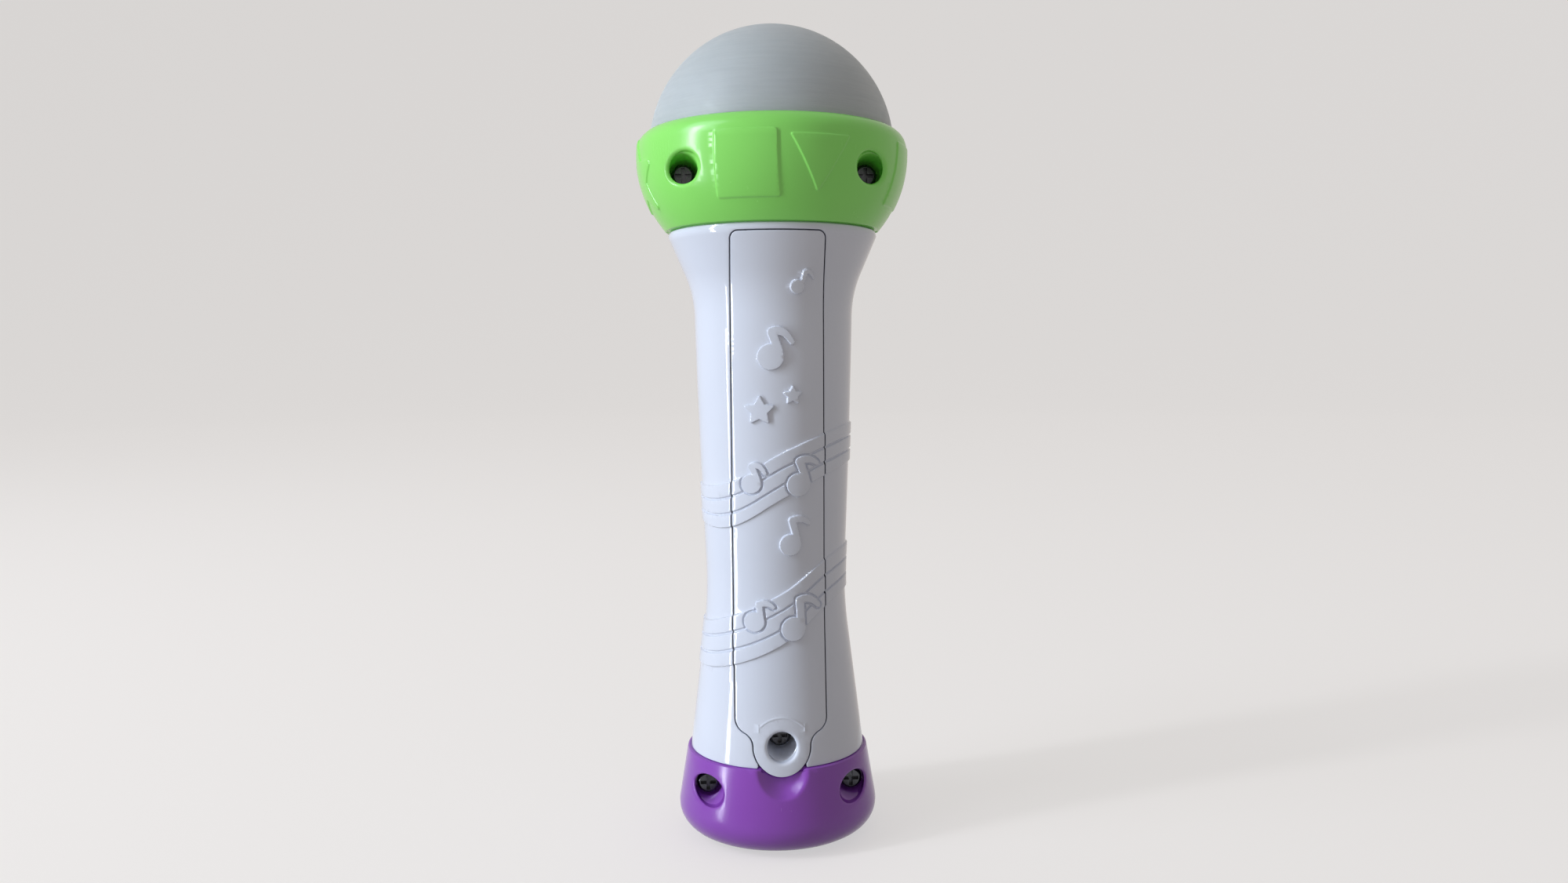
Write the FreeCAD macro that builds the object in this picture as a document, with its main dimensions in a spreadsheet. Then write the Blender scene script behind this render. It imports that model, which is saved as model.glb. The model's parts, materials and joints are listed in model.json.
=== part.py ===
"""A toy microphone: light-up dome, green ring, white waisted handle, purple base, and what is inside.

The frame: origin at the centre of the flat bottom, +Z up along the axis to the dome, +Y out of the back
(the battery door), -Y out of the front (the buttons). Millimetres.
"""
import FreeCAD, Part
import math
import os
import re

import Sketcher

# a text that starts with = is a size that follows others
SIZES = {
    # the widest radius; the handle's rim and neck and the dome follow it
    "ring_radius": 33.6,
    # handle: outer radius against height, from its lower edge to its rim
    "handle_bottom": 22.0,
    "lower_radius": 22.15,
    "lower_taper": 0.122,
    "waist_start": 53.5,
    "waist_bend": 110.0,
    "waist_end": 71.0,
    "waist_radius": 17.8,
    "grip_bulge": 2800.0,
    "grip_top": 131.0,
    "grip_radius": 19.85,
    "flare_bend": 28.0,
    "flare_start": 140.9,
    "flare_step": 4.45,
    "flare_radius": "=rim_radius - flare_step",
    "flare_end": 151.2,
    "rim_step": 7.4,
    "rim_radius": "=ring_radius - rim_step",
    "rim_inset": 0.9,
    "rim_round": 1.25,
    "handle_top": 152.3,
    "wall": 2.0,
    # handle ends: the neck that the ring clamps, and the spigot that the base clamps
    "neck_step": 5.4,
    "neck_radius": "=rim_radius - neck_step",
    "neck_floor": 1.7,
    "neck_lip": 1.8,
    "neck_lip_height": 1.8,
    "spigot_drop": 4.0,
    "spigot_bead": 0.75,
    "spigot_bead_height": 1.8,
    # gaps
    "fit_gap": 0.15,
    "seat_gap": 0.3,
    "door_gap": 0.3,
    "thread_gap": 0.05,
    "hole_gap": 0.15,
    # ring
    "ring_flank": 28.5,
    "ring_widest": 171.0,
    "ring_shoulder_start": 172.1,
    "ring_shoulder": 4.6,
    "ring_floor": 2.0,
    "ring_groove_depth": 1.25,
    "ring_ledge_depth": 2.4,
    "ring_ledge_height": 2.0,
    "ring_screw_inset": 11.6,
    "ring_screw_x": "=ring_radius - ring_screw_inset",
    "ring_screw_z": 164.6,
    "ring_screw_seat": 10.0,
    "relief_height": 0.35,
    "relief_root": 0.6,
    "shape_size": 15.0,
    "shape_z": 164.6,
    "circle_radius": 7.4,
    "star_radius": 9.0,
    "star_inner_share": 0.45,
    # dome
    "dome_step": 3.1,
    "dome_radius": "=ring_radius - dome_step",
    "dome_centre": 172.3,
    "dome_wall": 1.8,
    "dome_flange": 1.05,
    "dome_flange_height": 1.7,
    # light deck and what stands on it
    "deck_thickness": 1.6,
    "deck_wire_hole": 3.2,
    "light_board_radius": 14.0,
    "light_board_thickness": 1.2,
    "led_radius": 2.5,
    "led_height": 5.0,
    "led_circle": 10.3,
    "capsule_radius": 4.85,
    "capsule_height": 6.5,
    "boot_wall": 1.2,
    "boot_floor": 1.0,
    # base
    "base_radius": 25.2,
    "base_widest": 8.7,
    "foot_radius": 14.0,
    "foot_edge": 21.0,
    "foot_rise": 1.4,
    "foot_round": 6.3,
    "base_top_radius": 23.1,
    "base_edge": 0.7,
    "base_floor": 2.0,
    "base_lip_height": 1.9,
    "base_screw_x": 17.95,
    "base_screw_z": 15.05,
    "base_screw_seat": 8.0,
    "scoop_round": 10.0,
    "scoop_radius": 7.0,
    "scoop_z": 23.0,
    "scoop_backing": 4.3,
    # battery door
    "door_half_width": 11.1,
    "door_top": 150.2,
    "door_corner": 1.6,
    "door_shoulder": 3.3,
    "door_shoulder_turn": 67.0,
    "tab_radius": 6.9,
    "tab_z": 27.0,
    "hinge_inset": 0.9,
    "hinge_drop": 0.4,
    "tongue_x": 5.0,
    "tongue_width": 3.8,
    "tongue_outer": 4.3,
    "tongue_inner": 2.9,
    "tongue_rise": 1.7,
    "door_boss_wall": 1.33,
    "door_screw_seat": 9.7,
    # screws
    "bore_radius": 3.67,
    "boss_wall": 1.4,
    "boss_floor": 1.5,
    "tower_radius": 3.4,
    "head_radius": 2.8,
    "head_height": 2.2,
    "shank_radius": 1.5,
    "shank_length": 9.0,
    "shank_hole": 1.7,
    "recess_width": 0.9,
    "recess_reach": 1.9,
    "recess_depth": 1.3,
    # battery compartment, in the back half of the handle
    "cell_radius": 7.2,
    "cell_length": 49.5,
    "cell_nub_radius": 2.7,
    "cell_nub_height": 1.0,
    "cell_play": 0.2,
    "tray_half_width": 8.0,
    "tray_wall": 1.5,
    "tray_floor_y": -2.3,
    "tray_floor": 1.2,
    "tray_bottom": 24.0,
    "cell_bay_bottom": 35.5,
    "spring_height": 6.2,
    "spring_radius": 3.6,
    "spring_wire": 0.45,
    "spring_pitch": 1.5,
    "pad_half_width": 4.0,
    "pad_bottom": 75.0,
    "pad_length": 37.0,
    "contact_thickness": 0.4,
    "contact_half_width": 6.0,
    "contact_tab": 1.6,
    "web_rise": 1.0,
    "web_depth": 3.8,
    "shell_screw_x": 5.5,
    "shell_screw_z": 148.0,
    "small_head_radius": 2.2,
    "small_head_height": 1.5,
    "small_shank_radius": 1.1,
    "small_shank_length": 7.0,
    # main board
    "board_half_width": 11.0,
    "board_front_y": -9.6,
    "board_thickness": 1.6,
    "board_bottom": 55.5,
    "board_head": 19.0,
    "board_top": "=record_z + board_head",
    "board_screw_length": 5.0,
    "board_screw_x": 8.4,
    "board_screw_inset": 2.6,
    "board_post_radius": 2.3,
    "chip_radius": 4.2,
    "chip_height": 1.6,
    "chip_skirt": 0.4,
    "chip_z": 92.0,
    "capacitor_radius": 2.0,
    "capacitor_length": 7.0,
    "capacitor_z": 78.0,
    # buttons
    "record_rise": 16.0,
    "record_z": "=song_z + record_rise",
    "record_radius": 8.0,
    "song_rise": 13.0,
    "song_z": "=effect_z + song_rise",
    "effect_rise": 17.0,
    "effect_z": "=knob_z + effect_rise",
    "small_button_radius": 4.5,
    "button_proud": 1.9,
    "cap_wall": 1.5,
    "flange_width": 1.4,
    "flange_height": 1.2,
    "small_flange_y": 14.0,
    "record_travel": 1.8,
    "small_travel": 1.2,
    "keypad_half_width": 6.5,
    "keypad_sheet": 0.8,
    "keypad_rise": 3.1,
    "keypad_dome_radius": 3.6,
    "bezel_width": 2.4,
    "bezel_proud": 0.7,
    # mode knob and its slide switch
    "knob_z": 67.0,
    "knob_half_width": 3.6,
    "knob_half_height": 3.8,
    "knob_proud": 2.0,
    "knob_lift": 0.35,
    "knob_neck_half_width": 1.4,
    "knob_neck_half_height": 2.0,
    "knob_plate_half_width": 3.2,
    "knob_plate_y": 15.1,
    "knob_plate_thickness": 1.0,
    "knob_travel": 4.0,
    "switch_half_width": 2.6,
    "switch_half_height": 5.5,
    "switch_height": 3.5,
    # speaker, facing the front
    "speaker_z": 41.0,
    "speaker_radius": 11.5,
    "speaker_back_y": -5.0,
    "speaker_depth": 8.2,
    "magnet_radius": 7.0,
    "magnet_height": 2.2,
    "pole_plate": 0.8,
    "speaker_rim": 1.0,
    "speaker_rim_width": 1.2,
    "speaker_skin": 0.3,
    "dust_cap_radius": 2.5,
    "dust_cap_rise": 0.5,
    "speaker_seat_wall": 1.4,
    "grille_slots": 6,
    "grille_pitch": 3.4,
    "grille_slot": 1.5,
    "grille_half_width": 7.5,
    # wires
    "wire_radius": 0.45,
    "wire_pitch": 1.3,
}

doc = FreeCAD.newDocument("toy_microphone")
sheet = doc.addObject("Spreadsheet::Sheet", "Dimensions")
for row, alias in enumerate(SIZES, start=1):
    sheet.set(f"A{row}", alias)
    sheet.setAlias(f"B{row}", alias)
for row, number in enumerate(SIZES.values(), start=1):
    sheet.set(f"B{row}", str(number))
doc.recompute()

HALF = 60.0    # reach of the boxes that split shells into halves, outside every shell
TALL = 260.0
TO_BACK = FreeCAD.Rotation(FreeCAD.Vector(1, 0, 0), -90)   # turns local +Z to +Y
TO_FRONT = FreeCAD.Rotation(FreeCAD.Vector(1, 0, 0), 90)   # turns local +Z to -Y
TO_RIGHT = FreeCAD.Rotation(FreeCAD.Vector(0, 1, 0), 90)   # turns local +Z to +X
UPRIGHT = FreeCAD.Rotation()


def linked(formula):
    """The formula with each size's name pointing at its cell."""
    return re.sub(r"[a-z][a-z_]*", lambda m: f"Dimensions.{m[0]}" if m[0] in SIZES else m[0], str(formula))


def size(formula):
    """The value of a formula now, as a plain number."""
    return float(sheet.evalExpression(linked(formula)))


def bind(item, **formulas):
    for name, formula in formulas.items():
        item.setExpression(name, linked(formula))


def place(item, x=0, y=0, z=0, turn=UPRIGHT):
    item.Placement = FreeCAD.Placement(FreeCAD.Vector(size(x), size(y), size(z)), turn)
    for axis, formula in (("x", x), ("y", y), ("z", z)):
        item.setExpression(f"Placement.Base.{axis}", linked(formula))
    return item


def box(label, low, high):
    """A box between two corners given as formulas."""
    item = doc.addObject("Part::Box", label)
    bind(item, Length=f"({high[0]}) - ({low[0]})", Width=f"({high[1]}) - ({low[1]})",
         Height=f"({high[2]}) - ({low[2]})")
    return place(item, *low)


def rod(label, radius, length, x=0, y=0, z=0, turn=UPRIGHT):
    """A cylinder that starts at a point and runs along +Z, or as turned."""
    item = doc.addObject("Part::Cylinder", label)
    bind(item, Radius=radius, Height=length)
    return place(item, x, y, z, turn)


def fuse(label, *items):
    item = doc.addObject("Part::MultiFuse", label)
    item.Shapes = list(items)
    return item


def common(label, *items):
    item = doc.addObject("Part::MultiCommon", label)
    item.Shapes = list(items)
    return item


def cut(label, base, *tools):
    item = doc.addObject("Part::Cut", label)
    item.Base = base
    item.Tool = tools[0] if len(tools) == 1 else fuse(label + "_tools", *tools)
    return item


def group(label, items):
    item = doc.addObject("Part::Compound", label)
    item.Links = list(items)
    return item


def origin_plane(body, role):
    return next(feature for feature in body.Origin.OriginFeatures if feature.Role == role)


def arc_between(start, end, radius):
    """A minor arc from start to end. Its centre is on the left of the way for a positive radius."""
    chord = end - start
    rise = math.sqrt(max(radius * radius - (chord.Length / 2) ** 2, 0.0))
    left = FreeCAD.Vector(-chord.y, chord.x, 0).normalize() * math.copysign(rise, radius)
    centre = (start + end) * 0.5 + left
    first, last = (start, end) if radius > 0 else (end, start)
    angles = [math.atan2(point.y - centre.y, point.x - centre.x) for point in (first, last)]
    if angles[1] < angles[0]:
        angles[1] += 2 * math.pi
    circle = Part.Circle(centre, FreeCAD.Vector(0, 0, 1), abs(radius))
    return Part.ArcOfCircle(circle, *angles)


def draw(sketch, outline):
    """A closed outline: (x, y, curve to the next corner), where a curve is None or a signed radius."""
    corners = [FreeCAD.Vector(size(x), size(y), 0) for x, y, _ in outline]
    ends = []
    for number, (_, _, curve) in enumerate(outline):
        start, end = corners[number], corners[(number + 1) % len(corners)]
        if curve is None:
            sketch.addGeometry(Part.LineSegment(start, end), False)
            ends.append((1, 2))
        else:
            radius = size(curve)
            sketch.addGeometry(arc_between(start, end, radius), False)
            ends.append((1, 2) if radius > 0 else (2, 1))
    for number, (x, y, curve) in enumerate(outline):
        following = (number + 1) % len(outline)
        start, end = ends[number]
        sketch.addConstraint(Sketcher.Constraint("Coincident", number, end, following, ends[following][0]))
        for kind, formula, value, axis in (
            ("DistanceX", x, corners[number].x, -2), ("DistanceY", y, corners[number].y, -1)
        ):
            if abs(value) < 1e-9:
                sketch.addConstraint(Sketcher.Constraint("PointOnObject", number, start, axis))
                continue
            index = sketch.addConstraint(Sketcher.Constraint(kind, -1, 1, number, start, value))
            sketch.setExpression(f"Constraints[{index}]", linked(formula))
        if curve is not None:
            index = sketch.addConstraint(Sketcher.Constraint("Radius", number, abs(size(curve))))
            sketch.setExpression(f"Constraints[{index}]", linked(f"abs({curve})"))


def sketched(label, outline, role):
    body = doc.addObject("PartDesign::Body", label)
    sketch = body.newObject("Sketcher::SketchObject", label + "_outline")
    sketch.AttachmentSupport = (origin_plane(body, role), [""])
    sketch.MapMode = "FlatFace"
    draw(sketch, outline)
    return body, sketch


def turned(label, outline, x=0, y=0, z=0, turn=UPRIGHT):
    """A body of revolution about its own Z, from an outline of (radius, height, curve)."""
    body, sketch = sketched(label, outline, "XZ_Plane")
    revolution = body.newObject("PartDesign::Revolution", label + "_turning")
    revolution.Profile = sketch
    revolution.ReferenceAxis = (sketch, ["V_Axis"])
    revolution.Angle = 360
    return place(body, x, y, z, turn)


def padded(label, outline, length, role="XY_Plane", reversed_pad=False):
    body, sketch = sketched(label, outline, role)
    pad = body.newObject("PartDesign::Pad", label + "_pad")
    pad.Profile = sketch
    bind(pad, Length=length)
    pad.Reversed = reversed_pad
    return body


def reversed_side(side):
    """The same open line of corners, run the other way."""
    curves = [curve for _, _, curve in side[:-1]][::-1] + [None]
    corners = [(x, y) for x, y, _ in side][::-1]
    flipped = [None if curve is None else f"-({curve})" for curve in curves]
    return [(x, y, curve) for (x, y), curve in zip(corners, flipped)]


# ---------------------------------------------------------------- handle: outer line and solids from it
def handle_radius_low(height):
    return f"lower_radius - (({height}) - handle_bottom) * lower_taper"


FLARE_SLOPE = "(rim_radius - flare_radius) / (flare_end - flare_start)"


def handle_side(offset, low):
    """The handle's outer line, moved out by an offset, from a height up to the rim's start."""
    return [
        (f"{handle_radius_low(low)} + ({offset})", low, None),
        (f"{handle_radius_low('waist_start')} + ({offset})", "waist_start", "-waist_bend"),
        (f"waist_radius + ({offset})", "waist_end", "grip_bulge"),
        (f"grip_radius + ({offset})", "grip_top", "-flare_bend"),
        (f"flare_radius + ({offset})", "flare_start", None),
    ]


def handle_core(label, offset, low="handle_bottom - spigot_drop"):
    """Everything inside the handle's outer line moved out by an offset."""
    return turned(label, [
        ("0", low, None),
        *handle_side(offset, low),
        (f"rim_radius + ({offset})", "flare_end", "rim_round"),
        (f"rim_radius - rim_inset + ({offset})", "handle_top", None),
        ("0", "handle_top", None),
    ])


def handle_wall():
    """The whole handle as a tube, with its neck above and its spigot below."""
    floor_z = "handle_top - neck_floor"
    lip_z = "handle_top + ring_floor + seat_gap"
    inner = handle_side("-wall", "handle_bottom + wall")
    inner.append((f"rim_radius - wall - (flare_end - ({floor_z})) * {FLARE_SLOPE}", floor_z, None))
    spigot = "base_top_radius - wall - fit_gap"
    return turned("handle_wall", [
        (f"{spigot} - wall", "handle_bottom - spigot_drop", None),
        (f"{spigot} + spigot_bead", "handle_bottom - spigot_drop", None),
        (f"{spigot} + spigot_bead", "handle_bottom - spigot_drop + spigot_bead_height", None),
        (spigot, "handle_bottom - spigot_drop + spigot_bead_height", None),
        (spigot, "handle_bottom", None),
        *handle_side("0", "handle_bottom"),
        ("rim_radius", "flare_end", "rim_round"),
        ("rim_radius - rim_inset", "handle_top", None),
        ("neck_radius", "handle_top", None),
        ("neck_radius", lip_z, None),
        ("neck_radius + neck_lip", lip_z, None),
        ("neck_radius + neck_lip", f"{lip_z} + neck_lip_height", None),
        ("neck_radius - wall", f"{lip_z} + neck_lip_height", None),
        ("neck_radius - wall", floor_z, None),
        *reversed_side(inner),
        (f"{spigot} - wall", "handle_bottom", None),
    ])


back_half = box("back_half", (-HALF, 0, -TALL / 10), (HALF, HALF, TALL))
front_half = box("front_half", (-HALF, -HALF, -TALL / 10), (HALF, 0, TALL))
whole_handle = handle_wall()
inside_wall = handle_core("inside_wall", "-wall / 2")


def scoop_box(label, gap, high):
    """The room behind the scoop in the base, where the base is thicker and the spigot gives way."""
    return box(label, (f"-scoop_radius - wall / 2 - ({gap})", f"base_top_radius - scoop_backing - ({gap})",
                       "scoop_z - scoop_radius - wall"),
               (f"scoop_radius + wall / 2 + ({gap})", HALF, high))


# ---------------------------------------------------------------- screws, their bosses and towers
def screw(label, x, seat_y, z, head=("head_radius", "head_height"), shank=("shank_radius", "shank_length")):
    """A cross-recessed screw whose head faces the back and sits at seat_y."""
    outline = [
        ("0", f"-({shank[1]})", None),
        (f"{shank[0]} * 0.3", f"-({shank[1]})", None),
        (shank[0], f"-({shank[1]}) + {shank[0]}", None),
        (shank[0], "0", None),
        (head[0], "0", None),
        (head[0], f"{head[1]} * 0.6", f"{head[0]} * 0.5"),
        (f"{head[0]} * 0.75", head[1], None),
        ("0", head[1], None),
    ]
    blank = turned(label + "_blank", outline, x, seat_y, z, TO_BACK)
    top = f"({seat_y}) + {head[1]}"
    reach = f"{head[0]} * recess_reach / head_radius"
    slots = [
        box(f"{label}_slot_{number}",
            (f"({x}) - ({dx})", f"{top} - recess_depth", f"({z}) - ({dz})"),
            (f"({x}) + ({dx})", f"{top} + 1", f"({z}) + ({dz})"))
        for number, (dx, dz) in enumerate(((reach, "recess_width / 2"), ("recess_width / 2", reach)))
    ]
    return cut(label, blank, *slots)


def boss(label, x, z, seat_y, shell_core):
    """The recessed boss of a screw: a tube from behind the seat out to the surface of shell_core."""
    tube = rod(label + "_tube", "bore_radius + boss_wall", HALF, x, f"{seat_y} - boss_floor", z, TO_BACK)
    return common(label, tube, shell_core)


def boss_cuts(label, x, z, seat_y):
    return [
        rod(label + "_bore", "bore_radius", HALF, x, seat_y, z, TO_BACK),
        rod(label + "_hole", "shank_hole", HALF, x, f"{seat_y} - boss_floor - 1", z, TO_BACK),
    ]


def tower(label, x, z, seat_y, shell_core):
    """The post that a screw bites into: from just under the boss down to the opposite wall."""
    start_y = f"{seat_y} - boss_floor - seat_gap"
    return common(label, rod(label + "_post", "tower_radius", HALF, x, start_y, z, TO_FRONT), shell_core)


def tower_hole(label, x, z, seat_y, radius="shank_radius + thread_gap", length="shank_length"):
    return rod(label, radius, f"{length} + 1", x, seat_y, z, TO_FRONT)


SIDES = (("left", "-1"), ("right", "1"))

# ---------------------------------------------------------------- battery door
HINGE_Y = "rim_radius - hinge_inset"
HINGE_Z = "door_top - hinge_drop"
S_CURVE = "(1 - cos(door_shoulder_turn))"
HOLLOW_SUM = f"((door_half_width - tab_radius) / {S_CURVE})"


def door_prism(label, grow):
    """The door's outline, grown by a gap, as a prism from the middle plane out of the back."""
    hollow = f"({HOLLOW_SUM} - door_shoulder - ({grow}))"
    tab = f"(tab_radius + ({grow}))"
    side = f"(door_half_width + ({grow}))"
    corner = f"(door_corner + ({grow}))"
    bend_x = f"{tab} + {hollow} * {S_CURVE}"
    bend_z = f"tab_z + {hollow} * sin(door_shoulder_turn)"
    body = padded(label, [
        ("0", f"tab_z - {tab}", tab),
        (tab, "tab_z", f"-{hollow}"),
        (bend_x, bend_z, f"(door_shoulder + ({grow}))"),
        (side, f"tab_z + {HOLLOW_SUM} * sin(door_shoulder_turn)", None),
        (side, f"door_top + ({grow}) - {corner}", corner),
        (f"{side} - {corner}", f"door_top + ({grow})", None),
        ("0", f"door_top + ({grow})", None),
    ], HALF, "XZ_Plane", reversed_pad=True)
    other_side = body.newObject("PartDesign::Mirrored", label + "_other_side")
    other_side.Originals = [body.Tip]
    other_side.MirrorPlane = (origin_plane(body, "YZ_Plane"), [""])
    body.Tip = other_side
    return body


DOOR_LOW = "tab_z - tab_radius - 2"
door_skin = handle_core("door_skin", "0", DOOR_LOW)
door_back = handle_core("door_back", "-wall", DOOR_LOW)
door_seat = handle_core("door_seat", "-wall - door_gap", DOOR_LOW)
door_hole = cut("door_hole", door_prism("door_hole_prism", "door_gap"), door_seat)
tab_hole = rod("tab_hole", "tab_radius + door_gap", HALF, 0,
               "door_screw_seat - boss_floor - seat_gap", "tab_z", TO_BACK)


def make_battery_door():
    plate = cut("door_plate", common("door_blank", door_prism("door_prism", "0"), door_skin), door_back)
    tube = common("door_boss", rod("door_boss_tube", "bore_radius + door_boss_wall", HALF, 0,
                                   "door_screw_seat - boss_floor", "tab_z", TO_BACK), door_skin)
    return cut("battery_door", fuse("door_body", plate, tube, *door_tongues()),
               *boss_cuts("door", 0, "tab_z", "door_screw_seat"))


def door_tongues():
    """Two tongues curved about the hinge line, so that they swing in the slots of the handle's top wall."""
    tongues = []
    for side, sign in SIDES:
        at = (f"{sign} * tongue_x - tongue_width / 2", HINGE_Y, HINGE_Z, TO_RIGHT)
        curl = cut(f"tongue_curl_{side}", rod(f"tongue_outer_{side}", "tongue_outer", "tongue_width", *at),
                   rod(f"tongue_inner_{side}", "tongue_inner", "tongue_width", *at))
        reach = box(f"tongue_reach_{side}",
                    (f"{sign} * tongue_x - tongue_width / 2", f"{HINGE_Y} - tongue_outer - 1",
                     f"{HINGE_Z} - tongue_outer * 0.75"),
                    (f"{sign} * tongue_x + tongue_width / 2", f"{HINGE_Y} - tongue_inner * 0.65",
                     "door_top + tongue_rise"))
        tongues.append(common(f"tongue_{side}", curl, reach))
    return tongues


def make_cell_pad():
    """The foam strip inside the door that keeps the cells from rattling."""
    block = box("pad_block",
                ("-pad_half_width", "tray_floor_y + cell_play + 2 * cell_radius + seat_gap", "pad_bottom"),
                ("pad_half_width", HALF, "pad_bottom + pad_length"))
    return common("cell_pad", block, door_back)


# ---------------------------------------------------------------- back half of the handle
CELL_BAY_TOP = ("cell_bay_bottom + contact_thickness + spring_height + cell_play"
                " + 2 * (cell_length + cell_nub_height) + cell_play + contact_thickness")
TRAY_TOP = "handle_top - neck_floor"


def tray():
    """The battery compartment: a trough whose rims carry the door, with bays for cells and screws."""
    outer = box("tray_outer", ("-tray_half_width - tray_wall", "tray_floor_y - tray_floor", "tray_bottom"),
                ("tray_half_width + tray_wall", HALF, TRAY_TOP))
    bays = []
    for name, low, high in (
        ("screw_bay", "tray_bottom + tray_floor", "cell_bay_bottom - tray_floor"),
        ("cell_bay", "cell_bay_bottom", CELL_BAY_TOP),
        ("top_bay", f"{CELL_BAY_TOP} + tray_floor", f"{TRAY_TOP} + 1"),
    ):
        bays.append(box(name, ("-tray_half_width", "tray_floor_y", low), ("tray_half_width", HALF, high)))
    trough = common("trough", cut("tray_block", outer, *bays), door_seat)
    webs = cut("web_layer", common("web_block", handle_core("web_top", "-web_rise"),
                                   box("web_box", (-HALF, 0, "tray_bottom"), (HALF, HALF, TRAY_TOP))),
               handle_core("web_under", "-web_depth"),
               box("web_middle", ("-tray_half_width", 0, "tray_bottom - 1"),
                   ("tray_half_width", HALF, f"{TRAY_TOP} + 1")),
               *[box(f"web_outside_{side}", (low, 0, "tray_bottom - 1"), (high, HALF, f"{TRAY_TOP} + 1"))
                 for side, low, high in (("left", -HALF, "-door_half_width - wall"),
                                         ("right", "door_half_width + wall", HALF))])
    door_tower = rod("door_tower", "tower_radius",
                     "door_screw_seat - boss_floor - seat_gap - tray_floor_y", 0, "tray_floor_y", "tab_z",
                     TO_BACK)
    return [trough, webs, door_tower]


def make_handle_back():
    half = common("handle_back_wall", whole_handle, back_half)
    cuts = [door_hole, tab_hole, scoop_box("scoop_room", "seat_gap", "handle_bottom")]
    cuts.append(tower_hole("door_tower_hole", 0, "tab_z", "door_screw_seat"))
    for side, sign in SIDES:
        cuts.append(box(f"tongue_slot_{side}",
                        (f"{sign} * tongue_x - tongue_width / 2 - seat_gap",
                         f"{HINGE_Y} - tongue_outer - seat_gap", f"{TRAY_TOP} - 1"),
                        (f"{sign} * tongue_x + tongue_width / 2 + seat_gap",
                         f"{HINGE_Y} - tongue_inner * 0.65 + seat_gap", "handle_top + 0.1")))
        cuts.append(rod(f"base_boss_notch_{side}", "bore_radius + boss_wall + seat_gap", HALF,
                        f"{sign} * base_screw_x", 0, "base_screw_z", TO_BACK))
        cuts.append(rod(f"shell_screw_hole_{side}", "small_shank_radius + hole_gap", 10,
                        f"{sign} * shell_screw_x", "tray_floor_y - 5", "shell_screw_z", TO_BACK))
    for name, x, z in (("spring", "-tray_half_width + contact_tab",
                        "cell_bay_bottom + contact_thickness / 2"),
                       ("plate", "-shell_screw_x", f"{CELL_BAY_TOP} - contact_thickness / 2")):
        cuts.append(box(f"{name}_tab_slot",
                        (f"{x} - contact_tab / 2 - fit_gap", "tray_floor_y - 4",
                         f"{z} - contact_thickness / 2"),
                        (f"{x} + contact_tab / 2 + fit_gap", "tray_floor_y + 1",
                         f"{z} + contact_thickness / 2")))
    return cut("handle_back", fuse("handle_back_body", half, *tray()), *cuts)


# ---------------------------------------------------------------- front half of the handle
def button_hole(name, radius, height):
    return rod(f"{name}_hole", f"{radius} + hole_gap", HALF, 0, "-neck_radius / 2", height, TO_FRONT)


def make_handle_front():
    half = common("handle_front_wall", whole_handle, front_half)
    added = []
    cuts = [
        button_hole("record", "record_radius", "record_z"),
        button_hole("song", "small_button_radius", "song_z"),
        button_hole("effect", "small_button_radius", "effect_z"),
        box("knob_slot",
            ("-knob_neck_half_width - hole_gap", -HALF,
             "knob_z - knob_neck_half_height - knob_travel - seat_gap"),
            ("knob_neck_half_width + hole_gap", "-neck_radius / 2",
             "knob_z + knob_neck_half_height + knob_travel + seat_gap")),
    ]
    front_y = "speaker_back_y - speaker_depth"
    seat_wall = rod("speaker_seat_wall", "speaker_radius + fit_gap + speaker_seat_wall", HALF, 0,
                    f"{front_y} + speaker_rim + 1", "speaker_z", TO_FRONT)
    added.append(common("speaker_seat", seat_wall, inside_wall))
    cuts.append(rod("speaker_seat_hole", "speaker_radius + fit_gap", "speaker_rim + 2", 0,
                    f"{front_y} + speaker_rim + 2", "speaker_z", TO_FRONT))
    cuts.append(rod("speaker_mouth", "speaker_radius - speaker_rim_width", "neck_radius / 2", 0,
                    f"{front_y} + 1", "speaker_z", TO_FRONT))
    grille = common("speaker_grille", cut("grille_layer", common("grille_plug", rod(
        "grille_disc", "speaker_radius", HALF, 0, f"{front_y} - 0.2", "speaker_z", TO_FRONT), door_skin),
        door_back), front_half)
    slots = []
    for number in range(int(SIZES["grille_slots"])):
        middle = f"speaker_z + ({number} - (grille_slots - 1) / 2) * grille_pitch"
        slots.append(box(f"grille_slot_{number}",
                         ("-grille_half_width", -HALF, f"{middle} - grille_slot / 2"),
                         ("grille_half_width", 0, f"{middle} + grille_slot / 2")))
    for side, sign in SIDES:
        added.append(common(f"shell_tower_{side}", rod(
            f"shell_tower_post_{side}", "tower_radius - 0.4", HALF, f"{sign} * shell_screw_x",
            "tray_floor_y - tray_floor", "shell_screw_z", TO_FRONT), inside_wall))
        cuts.append(rod(f"base_tower_notch_{side}", "tower_radius + seat_gap", HALF,
                        f"{sign} * base_screw_x", 0, "base_screw_z", TO_FRONT))
        cuts.append(tower_hole(f"shell_tower_hole_{side}", f"{sign} * shell_screw_x", "shell_screw_z",
                               "tray_floor_y", "small_shank_radius + thread_gap", "small_shank_length"))
        for end, height in (("low", "board_bottom + board_screw_inset"),
                            ("high", "board_top - board_screw_inset")):
            name = f"board_post_{side}_{end}"
            added.append(common(name, rod(name + "_rod", "board_post_radius", HALF, f"{sign} * board_screw_x",
                                          "board_front_y", height, TO_FRONT), inside_wall))
            cuts.append(rod(name + "_hole", "small_shank_radius + thread_gap",
                            "board_screw_length - board_thickness + 0.2",
                            f"{sign} * board_screw_x", "board_front_y", height, TO_FRONT))
    shell = cut("handle_front_shell", fuse("handle_front_body", half, *added), *cuts)
    return cut("handle_front", fuse("handle_front_with_grille", shell, grille), *slots)


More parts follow.
